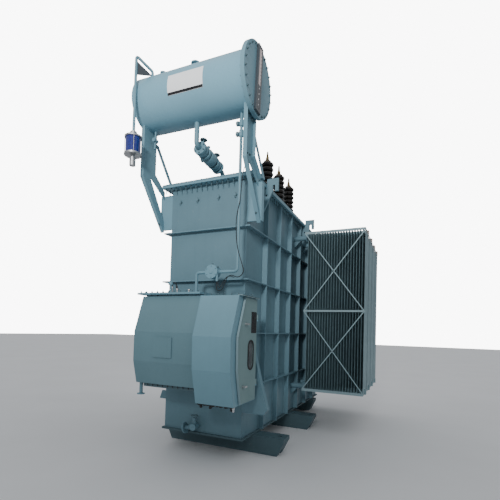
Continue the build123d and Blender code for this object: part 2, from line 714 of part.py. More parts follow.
RELAY_SLOPE = math.radians(LINE_SLOPE)
RELAY_UP = (0, math.sin(RELAY_SLOPE), math.cos(RELAY_SLOPE))


def along(s, lift=0.0):
    """A point on the sloping run, this far from its bend and this far above its axis."""
    return (0, CONS_Y + s * math.cos(RELAY_SLOPE) + lift * RELAY_UP[1],
            COVER_TOP + LINE_DROP - s * math.sin(RELAY_SLOPE) + lift * RELAY_UP[2])


def ring_at(s):
    """A pipe flange whose face lies this far along the sloping run."""
    return rod(along(s), along(s + LINE_FLANGE_T), LINE_FLANGE_R)


def relay_line():
    """The pipe from the drum to the cover, with two valves and the gas relay between flanges."""
    valve_1, relay, valve_2 = [STATION_FIRST + i * STATION_PITCH for i in range(3)]
    half, t = VALVE_LEN / 2, LINE_FLANGE_T
    end_y = FRONT_Y + LINE_LAND
    length = (end_y - CONS_Y) / math.cos(RELAY_SLOPE)
    upper = bent_rod([(0, CONS_Y, CONS_Z - CONS_R + CONS_WALL), along(0), along(valve_1 - half - t)],
                     LINE_BEND, LINE_R)
    lower = bent_rod([along(valve_2 + half + t), along(length), (0, end_y, COVER_TOP)], LINE_BEND, LINE_R)
    foot = rod((0, end_y, COVER_TOP), (0, end_y, COVER_TOP + t), LINE_FLANGE_R)
    write("relay_pipes", upper - drum(CONS_R + SEAT, -EYE_W, EYE_W) + ring_at(valve_1 - half - t),
          lower + ring_at(valve_2 + half) + foot)
    valves = []
    for s in (valve_1, valve_2):
        body = rod(along(s - half), along(s + half), VALVE_R) + rod(along(s), along(s, VALVE_RISE), VALVE_NECK_R)
        valves.append(body + ring_at(s - half) + ring_at(s + half - t))
    write("line_valves", *valves)
    start, end = valve_1 + half, valve_2 - half
    body = rod(along(relay - RELAY_LEN / 2), along(relay + RELAY_LEN / 2), RELAY_R)
    stubs = rod(along(start), along(end), LINE_R) + ring_at(start) + ring_at(end - t)
    write("gas_relay", body + stubs + rod(along(relay), along(relay, RELAY_KNOB_RISE), RELAY_KNOB_R))
    return [handwheel(along(s, VALVE_RISE), RELAY_UP) for s in (valve_1, valve_2)]


# Tap changer

CHANGER_PROFILE = [(548, CHANGER_TOP), (700, 1610), (700, 1240), (626, 960)]
DRIVE_PROFILE = [(600, 2060), (790, 1580), (780, 1195), (675, 800)]


def box_outline(profile, rear, grow=0.0):
    """A box's side outline: straight back, faceted front."""
    front = [(out(d + grow), z) for d, z in profile]
    return [(out(rear), profile[0][1]), *front, (out(rear), profile[-1][1])]


def tap_changer():
    """The oil-filled box, its neck, cover, drain and raised inspection plate."""
    write("changer_neck", changer_neck())
    body = plate_x(box_outline(CHANGER_PROFILE, BOX_REAR), CHANGER_LEFT, CHANGER_RIGHT)
    plate_front, low = out(CHANGER_PROFILE[1][0]), CHANGER_PROFILE[-1][1]
    plate_low = CHANGER_PROFILE[2][1] + HATCH_RISE
    hatch = block(HATCH_LEFT, HATCH_LEFT + HATCH_W, plate_front - HATCH_T, plate_front,
                  plate_low, plate_low + HATCH_H)
    strip = block(CHANGER_LEFT + NECK_IN_LEFT, CHANGER_RIGHT, out(STRIP_OUT), out(BOX_REAR), low - STRIP_H, low)
    write("changer_tank", body + hatch + strip)
    front, rim = out(CHANGER_PROFILE[0][0]), CHANGER_COVER_OUT
    collar = block(CHANGER_LEFT + COLLAR_IN, CHANGER_RIGHT - COLLAR_IN, front + COLLAR_IN, out(BOX_REAR),
                   CHANGER_TOP, CHANGER_COVER_Z)
    cover = block(CHANGER_LEFT - rim, CHANGER_RIGHT, front - rim, out(BOX_REAR), CHANGER_COVER_Z, LAND_Z)
    x, y = CHANGER_LEFT + VENT_IN, front + VENT_BACK
    vent = rod((x, y, LAND_Z), (x, y, LAND_Z + VENT_H), VENT_R) + rod(
        (x, y, LAND_Z + VENT_H - VENT_CAP_T), (x, y, LAND_Z + VENT_H), VENT_CAP_R)
    write("changer_cover", collar + cover + vent)
    x, y, end = CHANGER_LEFT + FOOT_IN, out(STRIP_OUT), low - FOOT_DROP
    write("changer_drain", rod((x, y, end), (x, y, low), FOOT_R)
          + rod((x, y, end - FOOT_FLANGE_T), (x, y, end), FOOT_FLANGE_R))


def coupling_flange():
    """The thick plate between the changer and its drive box."""
    outline = box_outline(CHANGER_PROFILE, BOX_REAR, 30)
    return plate_x(outline, CHANGER_RIGHT, CHANGER_RIGHT + COUPLING_T)


def drive_outline(inset):
    """The drive box's side outline, or the room inside it."""
    rear, profile = BOX_REAR + inset, []
    for i, (d, z) in enumerate(DRIVE_PROFILE):
        lift = -inset if i == 0 else (inset if i == len(DRIVE_PROFILE) - 1 else 0)
        profile.append((d - inset * 1.1, z + lift))
    return box_outline(profile, rear)


def door_outline(grow=0.0):
    """The door follows the box's front at a steady distance."""
    profile = [(d - DOOR_EDGE + grow, z) for d, z in DRIVE_PROFILE]
    profile[0] = (profile[0][0], profile[0][1] - DOOR_TRIM + grow)
    profile[-1] = (profile[-1][0], profile[-1][1] + DOOR_TRIM - grow)
    return box_outline(profile, HINGE_OUT + KNUCKLE_R + DOOR_REAR - grow)


def hinge_parts(z):
    """One lift-off hinge: a pin on a block on the box, and a knuckle on the door."""
    x, y = DRIVE_RIGHT + HINGE_STAND, out(HINGE_OUT)
    lug = block(DRIVE_RIGHT, x, y - KNUCKLE_R, y + KNUCKLE_R, z - HINGE_LUG_H, z) + rod(
        (x, y, z - HINGE_LUG_H), (x, y, z), KNUCKLE_R)
    pin = rod((x, y, z), (x, y, z + KNUCKLE_H), HINGE_R)
    low, high = z + HINGE_FIT, z + KNUCKLE_H
    knuckle = rod((x, y, low), (x, y, high), KNUCKLE_R)
    arm = block(x - KNUCKLE_R / 2, x + KNUCKLE_R / 2, y - KNUCKLE_R - HINGE_ARM, y, low, high)
    bore = rod((x, y, low - 1), (x, y, high + 1), HINGE_R + HINGE_FIT)
    return lug + pin, (knuckle + arm) - bore


def drive_box():
    """A sheet housing, open towards the door, with the fixed halves of the hinges."""
    x0 = CHANGER_RIGHT + COUPLING_T
    shell = plate_x(drive_outline(0), x0, DRIVE_RIGHT)
    room = plate_x(drive_outline(DRIVE_WALL), x0 + DRIVE_WALL, DRIVE_RIGHT - DRIVE_WALL)
    doorway = plate_x(door_outline(-DOORWAY_LIP), DRIVE_RIGHT - DRIVE_WALL - 1, DRIVE_RIGHT + 1)
    box = shell - room - doorway
    for z in HINGE_Z:
        box = box + hinge_parts(z)[0]
    write("drive_box", box)


def window_slab(x0, x1, inset):
    """A slab in the window's long rounded shape, this far inside the frame's outer edge."""
    face = Plane(origin=(x0, out(WINDOW_OUT), WINDOW_Z), x_dir=(0, 1, 0), z_dir=(1, 0, 0)) * RectangleRounded(
        WINDOW_W - 2 * inset, WINDOW_H - 2 * inset, WINDOW_W / 2 - 1 - inset)
    return extrude(face, amount=x1 - x0)


def door():
    """The side door with its window, handles and bare plate."""
    x0, x1 = DRIVE_RIGHT + DOOR_GAP, DRIVE_RIGHT + DOOR_GAP + DOOR_T
    leaf = plate_x(door_outline(), x0, x1) - window_slab(x0 - 1, x1 + 1, WINDOW_TRIM)
    for z in HINGE_Z:
        leaf = leaf + hinge_parts(z)[1]
    write("drive_door", leaf)
    write("door_window", window_slab(x0, x1 - WINDOW_SUNK, WINDOW_TRIM + SEAT))
    x2 = x1 + WINDOW_FRAME_T
    write("window_frame", window_slab(x1, x2, 0) - window_slab(x1 - 1, x2 + 1, WINDOW_FRAME))
    write("door_plate", block(
        x1, x1 + DOOR_PLATE_T, out(DOOR_PLATE_OUT + DOOR_PLATE_W), out(DOOR_PLATE_OUT), DOOR_PLATE_Z,
        DOOR_PLATE_Z + DOOR_PLATE_H))
    handles = []
    for d, z in HANDLES:
        y, x2 = out(d), x1 + HANDLE_STAND
        handles.append(rod((x1, y, z), (x2, y, z), HANDLE_R) + block(
            x2, x2 + HANDLE_T, y - HANDLE_W / 2, y + HANDLE_LEN, z - HANDLE_H / 2, z + HANDLE_H / 2))
    write("door_handles", *handles)


def drain_valve():
    """The tank's bottom drain with a blanked outlet, and its handwheel."""
    x, y, z = DRAIN_X, out(DRAIN_OUT), DRAIN_Z
    end = (x - DRAIN_REACH, y, z - DRAIN_FALL)
    stub = rod((x, y, z), (x, FRONT_Y, z), DRAIN_R)
    body = rod((x, y - DRAIN_BODY_R, z), (x, y + DRAIN_BODY_R, z), DRAIN_BODY_R)
    neck = rod((x, y, z), (x, y, z + DRAIN_RISE), VALVE_NECK_R)
    outlet = rod((x, y, z), end, DRAIN_R)
    flange = rod(end, (end[0] - LINE_FLANGE_T, y, end[2] - DRAIN_FALL * LINE_FLANGE_T / DRAIN_REACH),
                 DRAIN_FLANGE_R)
    write("drain_valve", stub + body + neck + outlet + flange)
    return handwheel((x, y, z + DRAIN_RISE), (0, 0, 1))


# Line to the tap changer

def surge_line():
    """The pipe from the drum down to the tap changer, with its relay and two cocks."""
    y, low, relay_half = CONS_Y, SURGE_Z, SURGE_RELAY_R + SURGE_FOOT_T
    down = bent_rod([
        (SURGE_X, y, CONS_Z - CONS_R + SURGE_BEND), (SURGE_X, y, low), (SURGE_RELAY_X + relay_half, y, low)],
        SURGE_BEND, SURGE_R) - drum(CONS_R + SEAT, SURGE_X - EYE_W, SURGE_X + EYE_W)
    across = bent_rod([
        (SURGE_RELAY_X - relay_half, y, low), (SURGE_LAND_X, y, low), (SURGE_LAND_X, y, LAND_Z)],
        SURGE_BEND, SURGE_R)
    foot = rod((SURGE_LAND_X, y, LAND_Z), (SURGE_LAND_X, y, LAND_Z + SURGE_FOOT_T), SURGE_FOOT_R)
    wheels = []
    for drop in COCK_DROPS:
        z = CONS_Z - CONS_R - drop
        down = down + rod((SURGE_X, y, z - COCK_LEN), (SURGE_X, y, z + COCK_LEN), COCK_R) + rod(
            (SURGE_X - COCK_REACH, y, z), (SURGE_X, y, z), COCK_R / 2)
        wheels.append(handwheel((SURGE_X - COCK_REACH, y, z), (-1, 0, 0)))
    write("changer_pipe", down, across + foot)
    back = y + SURGE_RELAY_BACK
    relay = rod((SURGE_RELAY_X, back - SURGE_RELAY_T, low), (SURGE_RELAY_X, back, low), SURGE_RELAY_R)
    stubs = rod((SURGE_RELAY_X - relay_half, y, low), (SURGE_RELAY_X + relay_half, y, low), 1.4 * SURGE_R)
    gland = rod((GLAND_X, out(CORD_AHEAD), low - GLAND_DROP), (GLAND_X, out(CORD_AHEAD), low), GLAND_R)
    write("changer_relay", relay + stubs + gland)
    return wheels


def signal_cable():
    """From the changer's relay round the pipe and up to the support, in straight runs and arcs."""
    route = [(GLAND_X, -GLAND_DROP), *CORD_ROUTE, (POST_IN - CORD_R, CORD_END)]
    points = [(x, out(CORD_AHEAD), SURGE_Z + z) for x, z in route]
    bends = []
    for before, corner, after in zip(points, points[1:], points[2:]):
        a, b = Vector(*corner) - Vector(*before), Vector(*after) - Vector(*corner)
        run = min(a.length, b.length) / 2
        bends.append(min(CORD_BEND, CORD_SHARE * run / math.tan(math.radians(a.get_angle(b)) / 2)))
    print("signal cable bends", [round(bend) for bend in bends])
    write("signal_cables", bent_rod(points, bends, CORD_R))


# Bushings

def bushings():
    """Three ribbed insulators on short turrets, each with a cap and a threaded stem."""
    foot = COVER_TOP + TURRET_H
    profile = [(0, foot), (SHED_CORE_R + SHED_LIP, foot), (SHED_CORE_R, foot + BUSHING_FOOT_H)]
    for i in range(SHED_COUNT):
        z = foot + BUSHING_FOOT_H + i * SHED_PITCH
        profile += [(SHED_R, z + SHED_PITCH / 2), (SHED_CORE_R, z + SHED_PITCH)]
    top = foot + BUSHING_FOOT_H + SHED_COUNT * SHED_PITCH
    insulator = turned([*profile, (0, top)])
    cap = turned([(0, top), (SHED_CORE_R, top), (CAP_TOP_R, top + CAP_H), (0, top + CAP_H)])
    stem_z = top + CAP_H
    stem = turned([(0, stem_z), (STEM_R, stem_z), (STEM_R, stem_z + STEM_H), (0, stem_z + STEM_H)])
    turret = turned([
        (0, COVER_TOP), (TURRET_R, COVER_TOP), (TURRET_R, foot - TURRET_FLANGE),
        (TURRET_R + TURRET_FLANGE, foot - TURRET_FLANGE), (TURRET_R + TURRET_FLANGE, foot), (0, foot)])
    places = [Pos(BUSHING_X, FRONT_Y + BUSHING_FIRST + i * BUSHING_PITCH, 0) for i in range(BUSHING_COUNT)]
    write("bushing_turrets", *[place * turret for place in places])
    write("bushing_insulators", *[place * insulator for place in places])
    write("bushing_caps", *[place * cap for place in places])
    write("bushing_terminals", *[place * stem for place in places])


# Radiators

def radiator():
    """Cooling panels on a top and a bottom header, for the right side, centred on Y = 0."""
    x0, x1 = SIDE_X + HEADER_START, SIDE_X + HEADER_END
    headers = [block(x0, x1, -HEADER_W / 2, HEADER_W / 2, z, z + HEADER_H)
               for z in (PANEL_BOTTOM, PANEL_TOP - HEADER_H)]
    panels = []
    for i in range(PANEL_COUNT):
        x = SIDE_X + PANEL_START + i * PANEL_PITCH
        panels.append(block(x, x + PANEL_T, -PANEL_W / 2, PANEL_W / 2, PANEL_BOTTOM, PANEL_TOP))
    return headers[0].fuse(headers[1], *panels)


def stub(z):
    """The pipe that carries a header on the side wall, with its flange and a gusset that touches it."""
    x0, x2 = SIDE_X, SIDE_X + HEADER_START
    x1 = x2 - 2 * STUB_FLANGE_T
    under = z - STUB_R
    pipe = rod((x0, 0, z), (x1, 0, z), STUB_R)
    flange = rod((x1, 0, z), (x2, 0, z), STUB_FLANGE_R)
    gusset = plate_y([(x0, under), (x0 + GUSSET_L, under), (x0, under - GUSSET_L)], -GUSSET_T / 2, GUSSET_T / 2)
    return pipe, flange, gusset


def radiators():
    one = radiator()
    stubs = [*stub(PANEL_TOP - HEADER_H / 2), *stub(PANEL_BOTTOM + HEADER_H / 2)]
    right_stubs = []
    for i, y in enumerate(RAD_Y):
        unit = Pos(0, y, 0) * one
        write(f"radiator_right_{i + 1}", unit)
        write(f"radiator_left_{i + 1}", mirrored(unit))
        right_stubs += [Pos(0, y, 0) * piece for piece in stubs]
    write("radiator_stubs", *right_stubs, *[mirrored(piece) for piece in right_stubs])


def radiator_bracing():
    """Three rails and crossed stays on the first radiator's near edges."""
    face = RAD_Y[0] - PANEL_W / 2
    x0 = SIDE_X + PANEL_START
    x1 = x0 + (PANEL_COUNT - 1) * PANEL_PITCH + PANEL_T
    middle = (PANEL_TOP + PANEL_BOTTOM) / 2
    rails = [
        block(x0, x1, face - RAIL_T, face, z, z + RAIL_H)
        for z in (PANEL_BOTTOM, middle - RAIL_H / 2, PANEL_TOP - RAIL_H)]
    stays = []
    for z0, z1 in ((PANEL_BOTTOM + RAIL_H, middle - RAIL_H / 2), (middle + RAIL_H / 2, PANEL_TOP - RAIL_H)):
        rise = math.hypot(x1 - x0, z1 - z0) / (x1 - x0) * STAY_W
        up = plate_y([(x0, z0), (x0, z0 + rise), (x1, z1), (x1, z1 - rise)], face - STAY_T, face)
        down = plate_y([(x0, z1), (x0, z1 - rise), (x1, z0), (x1, z0 + rise)], face - STAY_T, face)
        stays.append(up + down)
    right = [*rails, *stays]
    write("radiator_bracing", *right, *[mirrored(piece) for piece in right])


os.makedirs("parts", exist_ok=True)
tank()
bands()
ribs()
lugs()
jacking_brackets()
conservator()
level_gauge()
name_plate()
conservator_fittings()
supports()
breather()
line_wheels = relay_line()
tap_changer()
write("coupling_flange", coupling_flange())
drive_box()
door()
drain_wheel = drain_valve()
cock_wheels = surge_line()
write("handwheels", *line_wheels, *cock_wheels, drain_wheel)
signal_cable()
bushings()
radiators()
radiator_bracing()
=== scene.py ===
import math
import bmesh
import bpy
from mathutils import Matrix, Vector


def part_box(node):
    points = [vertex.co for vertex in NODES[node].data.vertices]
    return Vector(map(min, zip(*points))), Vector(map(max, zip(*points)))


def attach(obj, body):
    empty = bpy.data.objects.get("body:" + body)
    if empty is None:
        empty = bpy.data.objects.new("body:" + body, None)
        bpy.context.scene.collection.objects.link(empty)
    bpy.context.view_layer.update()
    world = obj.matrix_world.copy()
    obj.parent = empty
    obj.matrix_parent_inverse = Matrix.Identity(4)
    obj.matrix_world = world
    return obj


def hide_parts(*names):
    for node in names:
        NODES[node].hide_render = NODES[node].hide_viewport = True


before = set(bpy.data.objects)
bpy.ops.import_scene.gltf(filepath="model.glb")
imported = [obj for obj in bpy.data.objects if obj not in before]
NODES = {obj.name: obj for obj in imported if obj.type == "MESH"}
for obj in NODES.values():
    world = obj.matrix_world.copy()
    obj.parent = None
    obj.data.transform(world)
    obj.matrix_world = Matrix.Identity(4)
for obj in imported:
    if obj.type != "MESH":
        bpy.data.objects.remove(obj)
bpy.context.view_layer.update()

UNIT = "transformer"
DOOR = "door"

RIGHT = Vector((1, 0, 0))
BACK = Vector((0, 1, 0))
UP = Vector((0, 0, 1))

# Camera, worked out from the photograph's vanishing lines
PHOTO_SIDE = 500
SENSOR = 36.0
FOCAL_PX = 372.1
CENTRE_X_PX = 233.4
CENTRE_Y_PX = 318.5
CAMERA_AT = Vector((2.564, -4.890, 1.659))
CAMERA_YAW = math.radians(25.7)
CAMERA_PITCH = math.radians(1.8)
CAMERA_ROLL = math.radians(1.7)


def low(node):
    """The lowest corner of a CAD node's box."""
    return Vector(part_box(node)[0])


def high(node):
    """The highest corner of a CAD node's box."""
    return Vector(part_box(node)[1])


def middle(node):
    """The middle of a CAD node's box."""
    return (low(node) + high(node)) / 2


# Materials

MIX_FACTOR, MIX_FIRST, MIX_SECOND, MIX_RESULT = 0, 6, 7, 2


class Nodes:
    """Short calls for building one procedural material."""

    def __init__(self, name):
        self.material = bpy.data.materials.new(name)
        self.material.use_nodes = True
        self.tree = self.material.node_tree
        self.shader = self.tree.nodes["Principled BSDF"]
        self.place = self.tree.nodes.new("ShaderNodeTexCoord").outputs["Object"]

    def add(self, kind, **inputs):
        node = self.tree.nodes.new(kind)
        for key, value in inputs.items():
            self.put(node.inputs[key.replace("_", " ")], value)
        return node

    def put(self, socket, value):
        if isinstance(value, bpy.types.NodeSocket):
            self.tree.links.new(value, socket)
        else:
            socket.default_value = value

    def stretched(self, scale):
        node = self.add("ShaderNodeMapping", Vector=self.place)
        node.inputs["Scale"].default_value = scale
        return node.outputs["Vector"]

    def noise(self, scale, detail=4.0, rough=0.55, where=None):
        node = self.add("ShaderNodeTexNoise", Scale=scale, Detail=detail, Roughness=rough,
                        Vector=where or self.place)
        return node.outputs["Fac"]

    def ramp(self, value, stops):
        node = self.add("ShaderNodeValToRGB", Fac=value)
        while len(node.color_ramp.elements) < len(stops):
            node.color_ramp.elements.new(0.5)
        for element, (place, colour) in zip(node.color_ramp.elements, stops):
            element.position = place
            element.color = rgba(*colour)
        return node.outputs["Color"]

    def mask(self, value, start, end):
        """Black up to one value and white from the other on."""
        return self.ramp(value, [(start, (0, 0, 0)), (end, (1, 1, 1))])

    def mix(self, factor, first, second, blend="MIX"):
        node = self.tree.nodes.new("ShaderNodeMix")
        node.data_type = "RGBA"
        node.blend_type = blend
        self.put(node.inputs[MIX_FACTOR], factor)
        self.put(node.inputs[MIX_FIRST], first)
        self.put(node.inputs[MIX_SECOND], second)
        return node.outputs[MIX_RESULT]

    def scaled(self, value, factor, offset=0.0):
        node = self.tree.nodes.new("ShaderNodeMath")
        node.operation = "MULTIPLY_ADD"
        for socket, number in zip(node.inputs, (value, factor, offset)):
            self.put(socket, number)
        return node.outputs[0]

    def bump(self, height, strength, distance, below=None):
        node = self.add("ShaderNodeBump", Strength=strength, Distance=distance, Height=height)
        if below:
            self.put(node.inputs["Normal"], below)
        return node.outputs["Normal"]

    def finish(self, colour, rough, normal=None, **plain):
        self.put(self.shader.inputs["Base Color"], colour)
        self.put(self.shader.inputs["Roughness"], rough)
        if normal is not None:
            self.put(self.shader.inputs["Normal"], normal)
        for key, value in plain.items():
            self.shader.inputs[key.replace("_", " ")].default_value = value
        return self.material


def rgba(red, green, blue):
    return (red, green, blue, 1.0)


def toned(colour, factor):
    """A colour made darker or lighter by a factor."""
    return rgba(*(min(1.0, c * factor) for c in colour))


DUST = rgba(0.36, 0.38, 0.36)
RUST = rgba(0.20, 0.075, 0.03)
FIN_RUST = rgba(0.300, 0.110, 0.035)
FIN_CLEAN, FIN_GRIMY = rgba(0.205, 0.325, 0.360), rgba(0.090, 0.140, 0.155)
FIN_RUST_X, FIN_RUST_Z = (0.455, 0.515), (0.600, 0.690)
PAINT_GLOSS, FIN_GLOSS = 0.32, 0.35


def paint(name, colour, rough, soil, rust=0.0):
    """Sprayed enamel with an orange-peel skin, dust, run marks and scuffed edges."""
    n = Nodes(name)
    darker, scuffed = toned(colour, 0.72), toned(colour, 1.5)
    blotch = n.mask(n.noise(2.2, 5.0), 0.35, 0.75)
    base = n.mix(n.scaled(blotch, 0.45), rgba(*colour), darker)
    runs = n.mask(n.noise(1.0, 3.0, 0.6, n.stretched((16.0, 16.0, 0.9))), 0.50, 0.78)
    base = n.mix(n.scaled(runs, soil * 0.55), base, darker)
    specks = n.mask(n.noise(24.0, 6.0, 0.7), 0.60, 0.78)
    base = n.mix(n.scaled(specks, soil * 0.45), base, DUST)
    edges = n.mask(n.add("ShaderNodeNewGeometry").outputs["Pointiness"], 0.51, 0.56)
    base = n.mix(n.scaled(edges, 0.25), base, scuffed)
    if rust:
        stain = n.mask(n.noise(5.0, 8.0, 0.72), 0.60, 0.72)
        base = n.mix(n.scaled(stain, rust), base, RUST)
    skin = n.bump(n.noise(260.0, 2.0), 0.06, 0.0006)
    waves = n.bump(n.noise(3.0, 3.0), 0.12, 0.004, skin)
    return n.finish(base, n.scaled(blotch, 0.14, rough), waves, Specular_IOR_Level=PAINT_GLOSS)


def fin_paint():
    """Radiator enamel, rusting through at the upper outer corner."""
    n = Nodes("fin_paint")
    grime = n.mask(n.noise(7.0, 6.0, 0.7), 0.35, 0.8)
    base = n.mix(n.scaled(grime, 0.6), FIN_CLEAN, FIN_GRIMY)
    place = n.add("ShaderNodeSeparateXYZ", Vector=n.place)
    outer = n.mask(place.outputs["X"], *FIN_RUST_X)
    upper = n.mask(n.scaled(place.outputs["Z"], 0.5), *FIN_RUST_Z)
    rust = n.scaled(n.scaled(outer, upper), n.mask(n.noise(11.0, 8.0, 0.75), 0.42, 0.58))
    base = n.mix(rust, base, FIN_RUST)
    return n.finish(base, n.scaled(grime, 0.15, 0.45), n.bump(n.noise(90.0, 4.0), 0.12, 0.0008),
                    Specular_IOR_Level=FIN_GLOSS)


def metal(name, colour, rough, tarnish=0.4):
    """Bare metal with fine brushing and dull patches."""
    n = Nodes(name)
    patches = n.mask(n.noise(30.0, 6.0, 0.65), 0.4, 0.75)
    tint = n.mix(n.scaled(patches, tarnish), rgba(*colour), toned(colour, 0.45))
    lines = n.noise(1.0, 2.0, 0.6, n.stretched((60.0, 60.0, 900.0)))
    return n.finish(tint, n.scaled(patches, 0.25, rough), n.bump(lines, 0.10, 0.0004), Metallic=1.0)


def porcelain():
    """Dark brown glaze, a little lighter and rougher in clouds."""
    n = Nodes("brown_glaze")
    cloud = n.noise(14.0, 4.0)
    colour = n.ramp(cloud, [(0.3, (0.006, 0.004, 0.003)), (0.75, (0.018, 0.011, 0.007))])
    return n.finish(colour, n.scaled(cloud, 0.12, 0.10), n.bump(n.noise(60.0), 0.05, 0.0006),
                    Coat_Weight=0.25, Coat_Roughness=0.06, Specular_IOR_Level=0.30)


def rubber():
    """Black rubber with dust in its grain."""
    n = Nodes("black_rubber")
    dust = n.mask(n.noise(50.0, 6.0, 0.7), 0.45, 0.8)
    return n.finish(n.mix(n.scaled(dust, 0.25), rgba(0.010, 0.011, 0.012), rgba(0.040, 0.045, 0.050)),
                    n.scaled(dust, 0.2, 0.55), n.bump(n.noise(300.0), 0.15, 0.0005))


def clear(name, colour, through):
    """Glass or clear plastic with a film of dust."""
    n = Nodes(name)
    film = n.mask(n.noise(18.0, 5.0), 0.4, 0.8)
    return n.finish(n.mix(n.scaled(film, 0.25), rgba(*colour), rgba(0.5, 0.5, 0.48)),
                    n.scaled(film, 0.15, 0.05), Transmission_Weight=through, IOR=1.47)


def gel():
    """Blue drying beads behind a clear wall, each light in its middle and dark at its rim as painted shade
    between the beads.
    """
    n = Nodes("blue_gel_beads_painted_shade")
    cells = n.add("ShaderNodeTexVoronoi", Scale=170.0, Vector=n.place)
    bead = cells.outputs["Distance"]
    # Painted shading: each bead light in its middle and near black in the gaps between beads.
    painted_bead_shading = n.ramp(bead, [(0.0, (0.030, 0.065, 0.40)), (0.55, (0.006, 0.013, 0.17)),
                         (0.9, (0.002, 0.004, 0.04))])
    vary = n.mix(0.35, painted_bead_shading, cells.outputs["Color"], "OVERLAY")
    return n.finish(vary, 0.16, n.bump(bead, -0.5, 0.003), Coat_Weight=0.8, Coat_Roughness=0.04)


def plate_enamel(name, colour):
    """Smooth enamel of one colour under a thin film."""
    n = Nodes(name)
    film = n.mask(n.noise(6.0, 5.0), 0.4, 0.8)
    return n.finish(n.mix(n.scaled(film, 0.2), rgba(*colour), toned(colour, 0.75)),
                    n.scaled(film, 0.2, 0.25), n.bump(n.noise(40.0), 0.05, 0.0005))


TANK_PAINT = paint("tank_paint", (0.124, 0.222, 0.268), 0.40, 0.40)
FRONT_PAINT = paint("front_paint", (0.148, 0.278, 0.338), 0.36, 0.28)
# The drum's paint is a lighter, bluer copy of the front paint: its extra lightness is painted light on the
# drum.
DRUM_LIT_PAINT = paint("drum_paint_painted_light", (0.184, 0.362, 0.452), 0.26, 0.20)
# The tap changer's paint is a darker copy of the front paint: painted shade for the shadow the drive box
# casts on it.
CHANGER_SHADED_PAINT = paint("changer_paint_painted_shade", (0.116, 0.208, 0.243), 0.44, 0.35)
# The skids and base get a dark, grimy paint: partly dirt, and partly painted shade for the dim zone low under
# the tank.
SKID_SHADED_PAINT = paint("skid_paint_painted_shade", (0.062, 0.108, 0.126), 0.55, 0.8, 0.10)
DOOR_PAINT = paint("door_paint", (0.160, 0.250, 0.258), 0.42, 0.30)
FIN_PAINT = fin_paint()
# Dark paint for bolts; on the ledge under the tap changer it is painted shade.
BOLT_AND_SHADE_PAINT = paint("bolt_and_shade_paint", (0.070, 0.120, 0.140), 0.48, 0.7, 0.15)
KNOB_PAINT = paint("knob_paint", (0.100, 0.170, 0.200), 0.40, 0.5)
# A paler paint for the stays and the hood; on the door's folded edge it is a painted highlight.
STAY_AND_HIGHLIGHT_PAINT = paint("stay_and_highlight_paint", (0.230, 0.330, 0.360), 0.42, 0.35)
WELD_PAINT = paint("weld_paint", (0.130, 0.225, 0.262), 0.50, 0.6, 0.10)
PLATE_WHITE = plate_enamel("plate_white", (0.94, 0.95, 0.96))
PLATE_DARK = plate_enamel("plate_dark", (0.014, 0.014, 0.016))
STEEL = metal("bright_steel", (0.62, 0.63, 0.64), 0.26)
DULL_STEEL = metal("dull_steel", (0.34, 0.35, 0.35), 0.42, 0.6)
BRASS = metal("aged_brass", (0.40, 0.30, 0.15), 0.36, 0.6)
GLAZE = porcelain()
RUBBER = rubber()
OLD_STEEL = metal("silvery_steel", (0.50, 0.51, 0.52), 0.38, 0.35)
GAUGE_CARD = plate_enamel("gauge_card", (0.74, 0.62, 0.60))
# Near-black enamel for the gauge; on the breather's corner plate it is painted shade.
GAUGE_AND_SHADE_DARK = plate_enamel("gauge_and_shade_dark", (0.050, 0.060, 0.070))
GLASS = clear("clear_glass", (0.85, 0.90, 0.92), 0.9)
DARK_GLASS = clear("dark_glass", (0.11, 0.125, 0.135), 0.10)
CAP_BRONZE = metal("cap_bronze", (0.17, 0.13, 0.08), 0.40, 0.5)
GEL = gel()

FRONT_NODES = (
    "conservator_", "changer_", "coupling_flange", "drive_", "support_", "tank_rim", "relay_",
    "gas_relay", "line_valves", "breather_pipe")
SKID_NODES = ("skid_", "base_plate")
NODE_MATERIALS = {
    "name_plate": PLATE_WHITE, "door_plate": PLATE_DARK, "window_frame": RUBBER,
    "door_window": DARK_GLASS, "conservator_shell": DRUM_LIT_PAINT, "drive_door": DOOR_PAINT,
    "changer_tank": CHANGER_SHADED_PAINT, "level_gauge_frame": GAUGE_AND_SHADE_DARK, "level_gauge_glass": GLASS,
    "breather_caps": OLD_STEEL, "breather_oil_cup": OLD_STEEL, "breather_gel_glass": GEL,
    "door_handles": STEEL, "signal_cables": RUBBER,
}


def node_material(name):
    """The material of one CAD node: its own, or else its group's."""
    if name in NODE_MATERIALS:
        return NODE_MATERIALS[name]
    if name.startswith(SKID_NODES):
        return SKID_SHADED_PAINT
    return FRONT_PAINT if name.startswith(FRONT_NODES) else TANK_PAINT


for name, node in NODES.items():
    for slot in node.material_slots:
        slot.link = "OBJECT"
        slot.material = node_material(name)


# Building pieces

SIX_FACES = ((3, 2, 1, 0), (4, 5, 6, 7), (0, 1, 5, 4), (1, 2, 6, 5), (2, 3, 7, 6), (3, 0, 4, 7))
SHARP_EDGE = math.radians(35)
CORD_SIDES = 8
BEAD_STEP, BEAD_RADIUS, BEAD_SIDES = 0.030, 0.0055, 5


